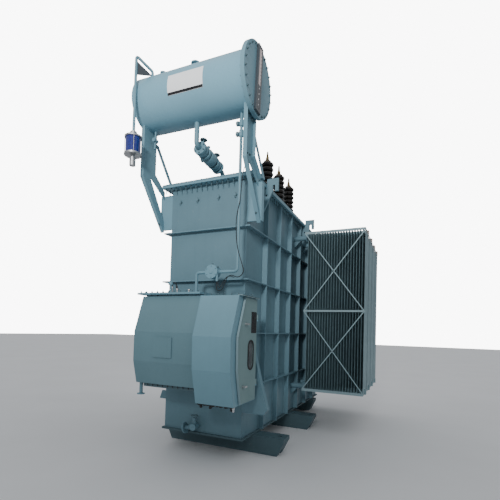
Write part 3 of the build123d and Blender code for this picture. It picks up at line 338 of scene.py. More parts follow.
class Shape:
    """Gathers solids into one mesh."""

    def __init__(self):
        self.bm = bmesh.new()

    def ring(self, centre, across, up, radius, sides, start=0.0):
        """Corners evenly round a circle."""
        turn = 2 * math.pi / sides
        return [self.bm.verts.new(centre + radius * (
            math.cos(start + i * turn) * across + math.sin(start + i * turn) * up)) for i in range(sides)]

    def skin(self, rings, closed=False):
        """Faces from each ring of corners to the next, with both ends capped unless it closes on itself."""
        sides = len(rings[0])
        for one, two in zip(rings, rings[1:] + rings[:1] if closed else rings[1:]):
            for i in range(sides):
                j = (i + 1) % sides
                self.bm.faces.new((one[i], one[j], two[j], two[i]))
        if not closed:
            self.bm.faces.new(rings[0][::-1])
            self.bm.faces.new(rings[-1])

    def lathe(self, profile, origin, axis, sides, start=0.0):
        """Turns (radius, distance along the axis) points round a line."""
        axis = Vector(axis).normalized()
        across = axis.orthogonal().normalized()
        up = axis.cross(across)
        self.skin([self.ring(Vector(origin) + axis * distance, across, up, max(radius, 1e-5), sides, start)
                   for radius, distance in profile])

    def brick(self, corners):
        """Six faces over eight corners: four in a ring, then the four opposite them."""
        v = [self.bm.verts.new(corner) for corner in corners]
        for face in SIX_FACES:
            self.bm.faces.new([v[i] for i in face])

    def block(self, a, b):
        """A box between two corners."""
        x0, y0, z0 = (min(p, q) for p, q in zip(a, b))
        x1, y1, z1 = (max(p, q) for p, q in zip(a, b))
        self.brick([(x, y, z) for z in (z0, z1) for x, y in ((x0, y0), (x1, y0), (x1, y1), (x0, y1))])

    def bolt(self, at, axis, size, stud=0.0):
        """A hexagon head of this radius on a washer, with a stud end where one shows."""
        at, axis = Vector(at), Vector(axis).normalized()
        self.lathe([(size * 1.25, 0), (size * 1.25, size * 0.2)], at, axis, 16)
        self.lathe([(size, 0), (size, size * 0.75), (size * 0.86, size * 0.95)],
                   at + axis * size * 0.2, axis, 6)
        if stud:
            self.lathe([(size * 0.5, 0), (size * 0.5, stud * 0.9), (size * 0.4, stud)],
                       at + axis * size * 1.1, axis, 10)

    def bolt_circle(self, centre, axis, up, radius, count, size=0.010, stud=0.0):
        """Bolt heads evenly round a flange."""
        side = axis.cross(up)
        for i in range(count):
            angle = 2 * math.pi * (i + 0.5) / count
            self.bolt(centre + radius * (math.cos(angle) * side + math.sin(angle) * up), axis, size, stud)

    def tube(self, points, radius):
        """A round cord through points, smoothed by cutting its corners three times."""
        line = [Vector(p) for p in points]
        for _ in range(3):
            cut = [line[0]]
            for p, q in zip(line, line[1:]):
                cut += [p.lerp(q, 0.25), p.lerp(q, 0.75)]
            line = cut + [line[-1]]
        rings = []
        for i, at in enumerate(line):
            along = (line[min(i + 1, len(line) - 1)] - line[max(i - 1, 0)]).normalized()
            across = along.cross(BACK if abs(along.y) < 0.9 else RIGHT).normalized()
            rings.append(self.ring(at, across, along.cross(across), radius, CORD_SIDES))
        self.skin(rings)

    def bead(self, start, end):
        """One straight weld bead that swells and thins along its length."""
        along = (end - start).normalized()
        across = along.orthogonal().normalized()
        steps = max(2, int((end - start).length / BEAD_STEP))
        self.skin([self.ring(start.lerp(end, i / steps), across, along.cross(across),
                             BEAD_RADIUS * (1.0 if i % 2 else 0.72), BEAD_SIDES) for i in range(steps + 1)])

    def strip_along(self, outline, x0, x1, depth):
        """A strip that follows a box's front, from points of (Y, Z), this far proud of it."""
        wide = Vector((x1 - x0, 0, 0))
        for (y0, z0), (y1, z1) in zip(outline, outline[1:]):
            start, end = Vector((x0, y0, z0)), Vector((x0, y1, z1))
            proud = (end - start).cross(RIGHT).normalized() * depth
            if proud.y > 0:
                proud = -proud
            face = [start, start + wide, end + wide, end]
            self.brick(face + [corner + proud for corner in face])

    def flat_bar(self, start, end, width, depth):
        """A bar between two points of one upright plane, its width in that plane."""
        start, end = Vector(start), Vector(end)
        side = (end - start).normalized().cross(BACK) * width / 2
        back = BACK * depth
        self.brick([corner for p in (start, end)
                    for corner in (p - side, p + side, p + side + back, p - side + back)])

    def done(self, name, material, body=UNIT, bevel=0.0, smooth=False):
        """Turns the gathered solids into one piece on a body."""
        mesh = bpy.data.meshes.new(name)
        bmesh.ops.recalc_face_normals(self.bm, faces=self.bm.faces)
        self.bm.to_mesh(mesh)
        self.bm.free()
        piece = bpy.data.objects.new(name, mesh)
        bpy.context.scene.collection.objects.link(piece)
        mesh.materials.append(material)
        if bevel:
            edge = piece.modifiers.new("bevel", "BEVEL")
            edge.width, edge.segments, edge.limit_method = bevel, 2, "ANGLE"
        if smooth:
            mesh.shade_smooth()
            mesh.set_sharp_from_angle(angle=SHARP_EDGE)
        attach(piece, body)
        return piece


def spaced(start, end, pitch):
    """Evenly spaced places from one end to the other, as near to the pitch as fits."""
    count = max(1, round((end - start) / pitch))
    return [start + (end - start) * i / count for i in range(count + 1)]


# Places that several pieces share

BAND_REACH = 0.075
WALL_Y = low("tank_bands").y + BAND_REACH
VENT_RISE = 0.150
COVER_FACE = high("changer_cover").z - VENT_RISE
COUPLING_X = high("coupling_flange").x
BOX_FOOT_Y, BOX_FOOT_Z = WALL_Y - 0.660, low("drive_box").z
BOX_TOP = high("drive_box").z
CHANGER_FRONT = [(WALL_Y - d, z) for d, z in ((0.548, 2.065), (0.700, 1.610), (0.700, 1.240), (0.626, 0.960))]
DOOR_FRONT = [(WALL_Y - d, z) for d, z in ((0.470, 2.044), (0.660, 1.580), (0.650, 1.195), (0.545, 0.816))]

TILT = math.radians(1.6)
DRUM_AXIS = Vector((math.cos(TILT), 0, -math.sin(TILT)))
DRUM_UP = Vector((math.sin(TILT), 0, math.cos(TILT)))
DRUM_Y = middle("conservator_cover").y

# The sloping pipe between the drum and the cover, and what stands on it
LINE_SLOPE = math.radians(6.6)
LINE_AXIS = Vector((0, math.cos(LINE_SLOPE), -math.sin(LINE_SLOPE)))
LINE_UP = Vector((0, math.sin(LINE_SLOPE), math.cos(LINE_SLOPE)))
LINE_START = Vector((0, DRUM_Y, high("tank_cover").z + 0.355))
VALVES_AT = (0.160, 0.530)
VALVE_HALF = 0.065
RELAY_AT = 0.345


def on_line(distance, rise=0.0):
    """A point this far along the sloping pipe and this far above it."""
    return LINE_START + LINE_AXIS * distance + LINE_UP * rise


# Bolts

RIM_PITCH, RIM_EDGE, RIM_BOLT = 0.085, 0.045, 0.011
STUD_LEN = 0.060
LUG_CLEAR = 0.05
DRUM_BOLTS, DRUM_BOLT_EDGE = 24, 0.032
FLANGE_HALF, FLANGE_BOLTS_OUT = 0.018, 0.072
RADIATORS_A_SIDE = 4
COUPLING_PITCH = 0.11
CHANGER_PITCH = 0.09
WALL_STUDS_X = (-0.438, -0.156, 0.175, 0.429)
HOOK = ((0.003, -0.026, 0.030), (0.003, -0.028, -0.022), (-0.007, -0.030, -0.034), (-0.018, -0.030, -0.020))
POST_WEB = 0.042

# On each post: distances behind its front and above its foot, with the bolt's size and stud
POST_BOLTS = (
    (((0.470, 0.075), (0.415, 0.105)), 0.013, 0.012),
    (((0.180, 0.750), (0.090, 0.730)), 0.012, 0.010),
    (((0.060, 1.190), (0.200, 1.190)), 0.013, 0.012),
)


def rim_bolts():
    """Bolts all round the cover, with long stud ends under the rim except beside a lifting lug."""
    shape = Shape()
    a, b = low("tank_cover"), high("tank_cover")
    under = low("tank_rim").z
    xs = spaced(a.x + RIM_EDGE, b.x - RIM_EDGE, RIM_PITCH)
    ys = spaced(a.y + RIM_EDGE, b.y - RIM_EDGE, RIM_PITCH)
    places = [(x, y) for x in xs for y in (ys[0], ys[-1])]
    places += [(x, y) for y in ys[1:-1] for x in (xs[0], xs[-1])]
    lugs = low("lifting_lugs").y, high("lifting_lugs").y
    for x, y in places:
        shape.bolt((x, y, b.z), UP, RIM_BOLT, 0.012)
        beside_lug = abs(x) > max(xs) - 0.01 and min(abs(y - lug) for lug in lugs) < LUG_CLEAR
        if not beside_lug:
            shape.bolt((x, y, under), -UP, RIM_BOLT, STUD_LEN)
    shape.done("rim_bolts", BOLT_AND_SHADE_PAINT)


def drum_bolts():
    """Bolts round the conservator's end cover and the heads behind its flange."""
    shape = Shape()
    cover, flange = middle("conservator_cover"), middle("conservator_flange")
    half = (cover - flange).length / 2
    radius = (high("conservator_cover").y - low("conservator_cover").y) / 2 - DRUM_BOLT_EDGE
    shape.bolt_circle(cover + half * DRUM_AXIS, DRUM_AXIS, DRUM_UP, radius, DRUM_BOLTS, 0.012, 0.010)
    shape.bolt_circle(flange - half * DRUM_AXIS, -DRUM_AXIS, DRUM_UP, radius, DRUM_BOLTS, 0.012)
    shape.done("drum_bolts", BOLT_AND_SHADE_PAINT)


def relay_line_bolts():
    """Bolts at both faces of each joint along the sloping pipe."""
    shape = Shape()
    for valve in VALVES_AT:
        for joint in (valve - VALVE_HALF, valve + VALVE_HALF):
            for sign in (-1, 1):
                shape.bolt_circle(on_line(joint + sign * FLANGE_HALF), sign * LINE_AXIS, LINE_UP,
                                  FLANGE_BOLTS_OUT, 6, 0.009, 0.006)
    shape.done("line_bolts", BOLT_AND_SHADE_PAINT)


def stub_bolts():
    """Bolts at the flange of every pipe that carries a radiator."""
    shape = Shape()
    face = high("radiator_stubs").x - 0.040
    levels = high("radiator_stubs").z - 0.090, low("radiator_right_1").z + 0.0425
    for i in range(RADIATORS_A_SIDE):
        y = middle(f"radiator_right_{i + 1}").y
        for z in levels:
            for side in (-1, 1):
                shape.bolt_circle(Vector((side * face, y, z)), -side * RIGHT, UP, FLANGE_BOLTS_OUT, 6)
    shape.done("stub_bolts", BOLT_AND_SHADE_PAINT)


def box_bolts():
    """Bolts down the flange between the tap changer and the drive box, near the tank."""
    shape = Shape()
    a, b = low("coupling_flange"), high("coupling_flange")
    for z in spaced(a.z + 0.06, b.z - 0.06, COUPLING_PITCH):
        shape.bolt((a.x, b.y - 0.022, z), -RIGHT, 0.009, 0.008)
    shape.done("coupling_bolts", BOLT_AND_SHADE_PAINT)


def front_wall_nuts():
    """Nuts and small hooks on the studs high on the front wall."""
    shape = Shape()
    for x in WALL_STUDS_X:
        at = Vector((x, WALL_Y, low("tank_rim").z - 0.200))
        shape.bolt(at, -BACK, 0.013)
        shape.tube([at + Vector(p) for p in HOOK], 0.0045)
    shape.done("stud_nuts", BOLT_AND_SHADE_PAINT)


def post_bolts():
    """Bolts that hold each post to its ear, its leg and the drum."""
    shape = Shape()
    for side, node in ((1, "support_right"), (-1, "support_left")):
        outer = high(node).x if side > 0 else low(node).x
        front, foot = low(node).y, low(node).z
        for places, size, stud in POST_BOLTS:
            for behind, above in places:
                shape.bolt((outer - side * POST_WEB, front + behind, foot + above), side * RIGHT, size, stud)
    shape.done("post_bolts", BOLT_AND_SHADE_PAINT)


def changer_bolts():
    """Bolts along three edges of the tap changer's cover."""
    shape = Shape()
    a, b = low("changer_cover"), high("changer_cover")
    ys = spaced(a.y + 0.03, b.y - 0.035, CHANGER_PITCH)
    places = [(x, y) for x in spaced(a.x + 0.04, b.x - 0.04, CHANGER_PITCH) for y in (ys[0], ys[-1])]
    places += [(a.x + 0.03, y) for y in ys[1:-1]]
    for x, y in places:
        shape.bolt((x, y, COVER_FACE), UP, 0.011, 0.014)
    shape.done("changer_bolts", BOLT_AND_SHADE_PAINT)


rim_bolts()
drum_bolts()
relay_line_bolts()
stub_bolts()
box_bolts()
front_wall_nuts()
post_bolts()
changer_bolts()


# Oil-level gauge

GAUGE_FACE = 0.0125
CARD_THICK, MARK_THICK = 0.001, 0.0018


def gauge_layer(name, material, thick, places):
    """Thin slabs on the gauge's face, from places of (Y, Y, along, along) about its middle."""
    shape = Shape()
    centre = middle("level_gauge_frame") + 0.001 * DRUM_AXIS
    for y0, y1, z0, z1 in places:
        shape.brick([centre + DRUM_AXIS * (GAUGE_FACE + d) + BACK * y + DRUM_UP * z
                     for z in (z0, z1) for d, y in ((0, y0), (thick, y0), (thick, y1), (0, y1))])
    shape.done(name, material)


def gauge():
    """A card with plain marks behind the gauge's glass, dark in its lower part."""
    marks = [(0.004, 0.024, z, z + 0.005) for z in (-0.045 + i * 0.045 for i in range(9))]
    dots = [(-0.006, 0.006, z, z + 0.012) for z in (-0.320 + i * 0.065 for i in range(4))]
    gauge_layer("gauge_card", GAUGE_CARD, CARD_THICK, [(-0.028, 0.028, -0.075, 0.352)])
    gauge_layer("gauge_card_low", GAUGE_AND_SHADE_DARK, CARD_THICK, [(-0.028, 0.028, -0.352, -0.077)])
    gauge_layer("gauge_marks", PLATE_DARK, MARK_THICK, marks)
    gauge_layer("gauge_dots", PLATE_WHITE, MARK_THICK, dots)


gauge()


# Seals, glands, fittings and welds, and pieces dark or pale as painted shade and highlight

GASKET_STEPS = 22
GLANDS_X = (0.345, 0.470, 0.745)
GLAND = ((0.024, 0), (0.024, 0.016), (0.017, 0.018), (0.017, 0.052), (0.012, 0.058))
PLUG = ((0.016, 0), (0.016, 0.030), (0.011, 0.034), (0.011, 0.060))

# X, distance in front of the wall, and height over the tap changer's cover
COVER_VALVES = ((-0.335, 0.300, 0.105), (-0.130, 0.210, 0.080), (-0.175, 0.420, 0.065))
COVER_HOSE = ((-0.335, 0.300, 0.100), (-0.335, 0.300, 0.170), (-0.255, 0.330, 0.150),
              (-0.215, 0.380, 0.060), (-0.175, 0.420, 0.115), (-0.175, 0.420, 0.062))

# X, distance behind the signal cable, and Z
RELAY_LOOP = ((0.394, 0, 2.262), (0.398, 0, 2.190), (0.424, 0, 2.172), (0.456, 0.014, 2.236),
              (0.490, 0.014, 2.300), (0.540, 0.014, 2.322), (0.610, 0.012, 2.300))

EYE = ((-0.022, 0), (-0.026, 0.040), (0, 0.060), (0.026, 0.040), (0.022, 0))
HOOD_FRONT, HOOD_BACK, HOOD_THICK = WALL_Y - 0.598, WALL_Y - 0.085, 0.0062
RIB_PITCH, RIB_HALF = 0.58, 0.008
ROD_RADIUS = 0.1045
VALVE_BODY = ((0.050, -0.047), (0.066, -0.044), (0.082, -0.020), (0.085, 0.0), (0.082, 0.020),
              (0.066, 0.044), (0.050, 0.047))
RELAY_BODY = ((0.074, -0.074), (0.088, -0.070), (0.094, -0.045), (0.094, 0.045), (0.088, 0.070),
              (0.074, 0.074))
KNOB = ((0.008, 0), (0.008, 0.036), (0.046, 0.038), (0.052, 0.044), (0.046, 0.052), (0.014, 0.056),
        (0.012, 0.066))
COCKS_Z = (4.206, 4.075)
COCK = ((0.016, 0), (0.016, 0.014), (0.028, 0.017), (0.032, 0.026), (0.032, 0.044), (0.025, 0.052))
WHEEL_RADIUS, SPINDLE = 0.046, 0.032

# The bare plate's outer face, measured from the drum's axis
PLATE_RADIUS = 0.355 + 0.0003 + 0.003 + 0.0008
PLATE_HALF = 0.255
BAND_ANGLES = [math.radians(-22.6 + 1.2 * i) for i in range(5)]


def seals_and_painted_shadow():
    """The dark strip between the two boxes, a gasket that also serves as painted shadow where the drive box
    shades the tap changer, and the rough gasket that shows under the drive box.
    """
    shape = Shape()
    right = high("changer_tank").x
    # This dark strip along the tap changer's edge is partly gasket and partly painted shadow from the drive
    # box.
    shape.strip_along(CHANGER_FRONT, right - 0.010, right - 0.001, 0.005)
    left = low("drive_box").x + 0.015
    step = (COUPLING_X + 0.480 - left) / GASKET_STEPS
    for i in range(GASKET_STEPS):
        x = left + step * i
        drop = 0.010 + 0.010 * math.sin(1.9 * i) * math.sin(0.45 * i + 0.6)
        shape.block((x, BOX_FOOT_Y - 0.006, BOX_FOOT_Z - 0.004 - drop),
                    (x + step + 0.001, BOX_FOOT_Y + 0.030, BOX_FOOT_Z - drop * 0.2 + 0.001))
    shape.done("box_gaskets_and_painted_shadow", RUBBER)


def glands():
    """Cable glands and a drain plug under the drive box, and a bolt row under the tap changer."""
    dark, bright = Shape(), Shape()
    y = BOX_FOOT_Y + 0.050
    for x in GLANDS_X:
        dark.lathe(GLAND, (x, y, BOX_FOOT_Z), -UP, 12)
    bright.lathe(PLUG, (0.770, y - 0.010, BOX_FOOT_Z), -UP, 12)
    for x in spaced(low("changer_tank").x + 0.08, high("changer_tank").x - 0.05, 0.075):
        dark.bolt((x, WALL_Y - 0.590, 0.960), -UP, 0.009, 0.022)
    dark.done("box_glands", RUBBER)
    bright.done("box_drain_plug", STEEL)


def sill():
    """The ledge that carries the tap changer's underside, in dark bolt paint as painted shade under the tap
    changer.
    """
    shape = Shape()
    # The ledge is dark as painted shade for the shadow under the tap changer.
    shape.block((low("changer_tank").x + 0.080, WALL_Y - 0.575, 0.912),
                (high("changer_tank").x - 0.004, WALL_Y - 0.500, 0.958))
    shape.done("changer_sill_painted_shade", BOLT_AND_SHADE_PAINT, bevel=0.002)


def cover_fittings():
    """Three small valves on the tap changer's cover, and a hose between two of them."""
    hose, valves = Shape(), Shape()
    for x, out, tall in COVER_VALVES:
        valves.lathe([(0.020, 0), (0.020, 0.012), (0.011, 0.014), (0.011, tall - 0.018),
                      (0.019, tall - 0.016), (0.019, tall)], (x, WALL_Y - out, COVER_FACE), UP, 12)
    hose.tube([(x, WALL_Y - out, COVER_FACE + rise) for x, out, rise in COVER_HOSE], 0.0065)
    hose.done("cover_hose", RUBBER, smooth=True)
    valves.done("cover_valves", STEEL, smooth=True)


def drive_box_top():
    """Lifting eyes and two rows of screws on the drive box's top."""
    shape = Shape()
    for x in (0.360, 0.740):
        shape.tube([(x + aside, WALL_Y - 0.130, BOX_TOP + rise) for aside, rise in EYE], 0.0065)
    for x in spaced(0.330, 0.770, 0.088):
        shape.bolt((x, WALL_Y - 0.570, BOX_TOP), UP, 0.011, 0.018)
        shape.bolt((x, WALL_Y - 0.110, BOX_TOP), UP, 0.008, 0.006)
    shape.done("box_eyes", BOLT_AND_SHADE_PAINT)


def door_hood():
    """The narrow roof over the drive box's door, its outer edge turned down."""
    shape = Shape()
    side = COUPLING_X + 0.490
    top = BOX_TOP + HOOD_THICK
    shape.block((side - 0.020, HOOD_FRONT, BOX_TOP + 0.0002), (side + 0.046, HOOD_BACK, top))
    shape.block((side + 0.042, HOOD_FRONT, BOX_TOP - 0.0060), (side + 0.046, HOOD_BACK, top))
    shape.done("door_hood", STAY_AND_HIGHLIGHT_PAINT, bevel=0.0008)


def door_lip_painted_highlight():
    """The door's folded front edge, in the paler stay paint as a painted highlight."""
    shape = Shape()
    inner = low("drive_door").x
    shape.strip_along(DOOR_FRONT, inner + 0.001, inner + 0.026, 0.004)
    shape.done("door_lip_painted_highlight", STAY_AND_HIGHLIGHT_PAINT, DOOR)


def relay_bolts():
    """The face and cable entries of the tap changer's relay, and a cord that loops below it."""
    entries, face, cord = Shape(), Shape(), Shape()
    a, b = low("changer_relay"), high("changer_relay")
    centre = Vector((a.x + 0.100, a.y, b.z - 0.086))
    face.bolt_circle(centre, -BACK, UP, 0.070, 6, 0.007, 0.004)
    face.lathe([(0.028, 0), (0.028, 0.004), (0.022, 0.008)], centre, -BACK, 20)
    face.done("relay_face", FRONT_PAINT)
    for angle in (math.radians(degrees) for degrees in (35, 90, 145)):
        way = RIGHT * math.cos(angle) + UP * math.sin(angle)
        entries.lathe([(0.013, 0), (0.013, 0.022), (0.009, 0.026)],
                      centre + way * 0.080 + BACK * 0.030, way, 10)
    entries.done("relay_bolts", BOLT_AND_SHADE_PAINT)
    y = middle("signal_cables").y
    cord.tube([(x, y + behind, z) for x, behind, z in RELAY_LOOP], 0.0045)
    cord.done("relay_cord", RUBBER, smooth=True)


def weld_beads():
    """Rippled fillets along both sides of every upright rib."""
    shape = Shape()
    wall = high("tank_shell").x + 0.001
    foot, top = high("base_plate").z + 0.005, high("tank_rim").z - 0.027
    ribs = spaced(low("side_ribs").y + RIB_HALF, high("side_ribs").y - RIB_HALF, RIB_PITCH)
    for y in (round(rib, 3) for rib in ribs):
        for side in (1, -1):
            for edge in (-0.0085, 0.0085):
                shape.bead(Vector((side * wall, y + edge, foot)), Vector((side * wall, y + edge, top)))
    shape.done("weld_beads", WELD_PAINT, smooth=True)


def breather_gusset_painted_shade():
    """A plate in the corner of the breather's pipe, near black as painted shade for the dark inside of that
    corner.
    """
    shape = Shape()
    start, end = low("breather_pipe"), high("breather_pipe")
    x0, y0, x1, y1 = start.x + 0.019, start.y + 0.019, end.x - 0.019, end.y - 0.019
    apex = end.z - 0.019
    run = Vector((x1 - x0, y1 - y0, 0)).normalized()
    side = Vector((-run.y, run.x, 0)) * 0.003
    corners = [Vector((x0, y0, apex - 0.045)), Vector((x0, y0, apex - 0.235)), Vector((x1, y1, apex - 0.175))]
    shape.skin([[shape.bm.verts.new(corner + offset) for corner in corners] for offset in (-side, side)])
    # Near-black plate: painted shade inside the corner between the pipes.
    shape.done("breather_gusset_painted_shade", GAUGE_AND_SHADE_DARK)


def breather_nuts():
    """Nuts where the tie rods pass the breather's caps."""
    shape = Shape()
    centre, a, b = middle("breather_gel_glass"), low("breather_gel_glass"), high("breather_gel_glass")
    for i in range(4):
        angle = math.radians(45 + 90 * i)
        x, y = centre.x + ROD_RADIUS * math.cos(angle), centre.y + ROD_RADIUS * math.sin(angle)
        shape.bolt((x, y, b.z + 0.020), UP, 0.0075, 0.006)
        shape.bolt((x, y, a.z - 0.020), -UP, 0.0075, 0.006)
    shape.done("breather_nuts", DULL_STEEL)


def line_housings():
    """The swollen cast bodies of the two valves and the gas relay."""
    shape = Shape()
    for at in VALVES_AT:
        shape.lathe(VALVE_BODY, on_line(at), LINE_AXIS, 20)
    shape.lathe(RELAY_BODY, on_line(RELAY_AT), LINE_AXIS, 24)
    shape.lathe([(0.034, 0), (0.034, 0.060), (0.028, 0.068)], on_line(RELAY_AT) - 0.060 * RIGHT, -RIGHT, 14)
    shape.lathe([(0.014, 0), (0.014, 0.050), (0.024, 0.052), (0.024, 0.070)],
                on_line(0.300, 0.080), LINE_UP, 12)
    shape.done("line_housings", FRONT_PAINT, smooth=True)


def knobs():
    """Knobs on the line's valves and cocks, and a spoked wheel on the tank's drain."""
    shape = Shape()
    for at in VALVES_AT:
        shape.lathe(KNOB, on_line(at, 0.116), LINE_UP, 20)
    for z in COCKS_Z:
        shape.lathe(COCK, (high("changer_pipe").x - 0.043, DRUM_Y, z), -RIGHT, 16)
    wheel(shape, Vector((-0.049, WALL_Y - 0.100, high("drain_valve").z)))
    piece = shape.done("valve_knobs", KNOB_PAINT, smooth=True)
    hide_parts("handwheels")


def wheel(shape, foot):
    """A rounded rim with four spokes and a hub on a short spindle."""
    centre = foot + UP * SPINDLE
    rings = []
    for angle in (math.radians(360 * i / 28) for i in range(28)):
        way = RIGHT * math.cos(angle) + BACK * math.sin(angle)
        rings.append(shape.ring(centre + way * WHEEL_RADIUS, way, UP, 0.006, 8))
    shape.skin(rings, closed=True)
    for way in (RIGHT, BACK):
        shape.lathe([(0.0045, -0.044), (0.0045, 0.044)], centre, way, 8)
    shape.lathe([(0.013, -0.011), (0.013, 0.011), (0.009, 0.014)], centre, UP, 12)
    shape.lathe([(0.008, 0), (0.008, 0.030)], foot, UP, 10)


def plate_band():
    """A plain dark band along the lower edge of the conservator's bare plate."""
    shape = Shape()
    drum = middle("conservator_shell")
    centre = Vector((drum.x, DRUM_Y, drum.z)) + DRUM_AXIS * (middle("name_plate").x - drum.x)
    half = PLATE_HALF * math.cos(TILT) - 0.001
    rings = []
    for angle in BAND_ANGLES:
        outward = DRUM_UP * math.sin(angle) - BACK * math.cos(angle)
        rings.append([shape.bm.verts.new(centre + DRUM_AXIS * end * half + outward * (PLATE_RADIUS + lift))
                      for end, lift in ((-1, -0.0006), (1, -0.0006), (1, 0.0008), (-1, 0.0008))])
    shape.skin(rings)
    shape.done("plate_band", PLATE_DARK)


seals_and_painted_shadow()
glands()
sill()
cover_fittings()
drive_box_top()
door_hood()
door_lip_painted_highlight()
relay_bolts()
weld_beads()
breather_gusset_painted_shade()
breather_nuts()
line_housings()
knobs()
plate_band()


# Bushings

SHED_COUNT = 8
SHED_PITCH = 0.0835
SHED_GAP = 0.015
SHED_STEPS = 10
CORE_PART, FOOT_PART = 0.62, 0.84
TURRET_BOLTS, TURRET_BOLT_EDGE = 8, 0.022
CAP_TOP, CAP_BULGE = 0.034, 0.038
NUTS_TALL = 0.036
THREAD_PITCH, THREAD_DEPTH = 0.005, 0.0015
STEM_FOOT, STEM_TAPER = 0.021, 0.008


def bushing_places():
    """The insulators' radius, and the middle of each bushing as (x, y)."""
    a, b = low("bushing_insulators"), high("bushing_insulators")
    radius = (b.x - a.x) / 2
    return radius, [((a.x + b.x) / 2, y) for y in (a.y + radius, (a.y + b.y) / 2, b.y - radius)]


def insulators():
    """Rounded sheds like a string of flat beads on a foot ring."""
    shape = Shape()
    radius, places = bushing_places()
    foot, top = low("bushing_insulators").z, high("bushing_insulators").z
    half = (SHED_PITCH - SHED_GAP) / 2
    core, ring = radius * CORE_PART, radius * FOOT_PART
    first = top - half - (SHED_COUNT - 1) * SHED_PITCH
    profile = [(0, 0), (ring, 0), (ring, 0.018), (radius * 0.80, 0.024), (core, 0.026)]
    for i in range(SHED_COUNT):
        centre = first - foot + i * SHED_PITCH
        for step in range(SHED_STEPS + 1):
            angle = math.pi * (step / SHED_STEPS - 0.5)
            bulge = math.cos(angle) ** 0.7
            profile.append((core + (radius - core) * bulge, centre + half * math.sin(angle)))
    profile.append((0, top - foot))
    for x, y in places:
        shape.lathe(profile, (x, y, foot), UP, 48)
    piece = shape.done("insulator_sheds", GLAZE, smooth=True)
    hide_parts("bushing_insulators")


def clamp_bolts():
    """Bolts that hold each bushing's foot to its turret."""
    shape = Shape()
    a, b = low("bushing_turrets"), high("bushing_turrets")
    ring = (b.x - a.x) / 2 - TURRET_BOLT_EDGE
    for x, y in bushing_places()[1]:
        for angle in (2 * math.pi * i / TURRET_BOLTS for i in range(TURRET_BOLTS)):
            shape.bolt((x + ring * math.cos(angle), y + ring * math.sin(angle), b.z), UP, 0.010, 0.012)
    shape.done("turret_bolts", BOLT_AND_SHADE_PAINT)


def terminals():
    """A dome cap, a stack of two nuts and a threaded stem on each bushing."""
    caps, stems = Shape(), Shape()
    foot, cap_top = low("bushing_caps").z, high("bushing_caps").z
    rise, tip = cap_top - foot, high("bushing_terminals").z - cap_top
    dome = [(CAP_TOP + CAP_BULGE * math.cos(a), rise * 0.70 * math.sin(a))
            for a in (i * math.pi / 16 for i in range(9))]
    cap = [(0, 0), *dome, (CAP_TOP, rise * 0.72), (0.030, rise), (0, rise)]
    stem = [(0.020, 0)]
    turns = int((tip - NUTS_TALL) / THREAD_PITCH)
    for i in range(turns):
        z = NUTS_TALL + i * THREAD_PITCH
        crest = STEM_FOOT - STEM_TAPER * i / turns
        stem += [(crest - THREAD_DEPTH, z), (crest, z + THREAD_PITCH / 2)]
    stem.append((0.010, tip))
    for x, y in bushing_places()[1]:
        caps.lathe(cap, (x, y, foot), UP, 32)
        stems.lathe([(0.033, 0), (0.033, 0.016), (0.029, 0.019)], (x, y, cap_top), UP, 6)
        stems.lathe([(0.030, 0.019), (0.030, 0.033), (0.026, NUTS_TALL)], (x, y, cap_top), UP, 6, 0.4)
        stems.lathe(stem, (x, y, cap_top), UP, 16)
    piece = caps.done("terminal_caps", CAP_BRONZE, smooth=True)
    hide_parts("bushing_caps")
    piece = stems.done("terminal_stems", BRASS)
    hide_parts("bushing_terminals")


insulators()
clamp_bolts()
terminals()


# Radiators

PANEL_COUNT = 22
PANEL_PITCH = 0.045
PANEL_HALF = 0.005
FIRST_PANEL = 0.055
FLUTES = 7
STEPS_A_FLUTE = 4
SEAM = 0.0015
SEAM_WIDTH = 0.012
FLUTE_START = 0.045
CORNER = 0.035
HEADER_TALL, HEADER_HALF = 0.085, 0.045
RAIL, MIDDLE_RAIL, STAY = 0.044, 0.030, 0.016


def panel(shape, x, y0, y1, z0, z1):
    """One pressed panel: two sheets that swell into upright channels between seams."""
    steps = FLUTES * STEPS_A_FLUTE
    sides = []
    for sign in (-1, 1):
        columns = []
        for i in range(steps + 1):
            t = i / steps
            y = y0 + SEAM_WIDTH + (y1 - y0 - 2 * SEAM_WIDTH) * t
            swell = abs(math.sin(math.pi * FLUTES * t)) ** 0.6
            depth = SEAM + (PANEL_HALF - SEAM) * swell
            from_side = min(y - y0, y1 - y)
            drop = CORNER - math.sqrt(CORNER ** 2 - max(0.0, CORNER - from_side) ** 2)
            ends = (0.0, SEAM_WIDTH)
            levels = (*(z0 + drop + end for end in ends), z0 + FLUTE_START,
                      z1 - FLUTE_START, *(z1 - drop - end for end in ends[::-1]))
            depths = (SEAM, SEAM, depth, depth, SEAM, SEAM)
            columns.append([shape.bm.verts.new((x + sign * d, y, z)) for d, z in zip(depths, levels)])
        levels = (z0 + CORNER, z0 + CORNER, z0 + 0.05, z1 - 0.05, z1 - CORNER, z1 - CORNER)
        first, last = ([shape.bm.verts.new((x + sign * SEAM, y, z)) for z in levels] for y in (y0, y1))
        columns = [first, *columns, last]
        for one, two in zip(columns, columns[1:]):
            for k in range(len(one) - 1):
                shape.bm.faces.new((one[k], two[k], two[k + 1], one[k + 1]))
        sides.append(columns)
    back, front = sides
    for k in (0, -1):
        for i in range(len(back) - 1):
            shape.bm.faces.new((back[i][k], back[i + 1][k], front[i + 1][k], front[i][k]))
    for i in (0, -1):
        for k in range(len(back[0]) - 1):
            shape.bm.faces.new((back[i][k], back[i][k + 1], front[i][k + 1], front[i][k]))


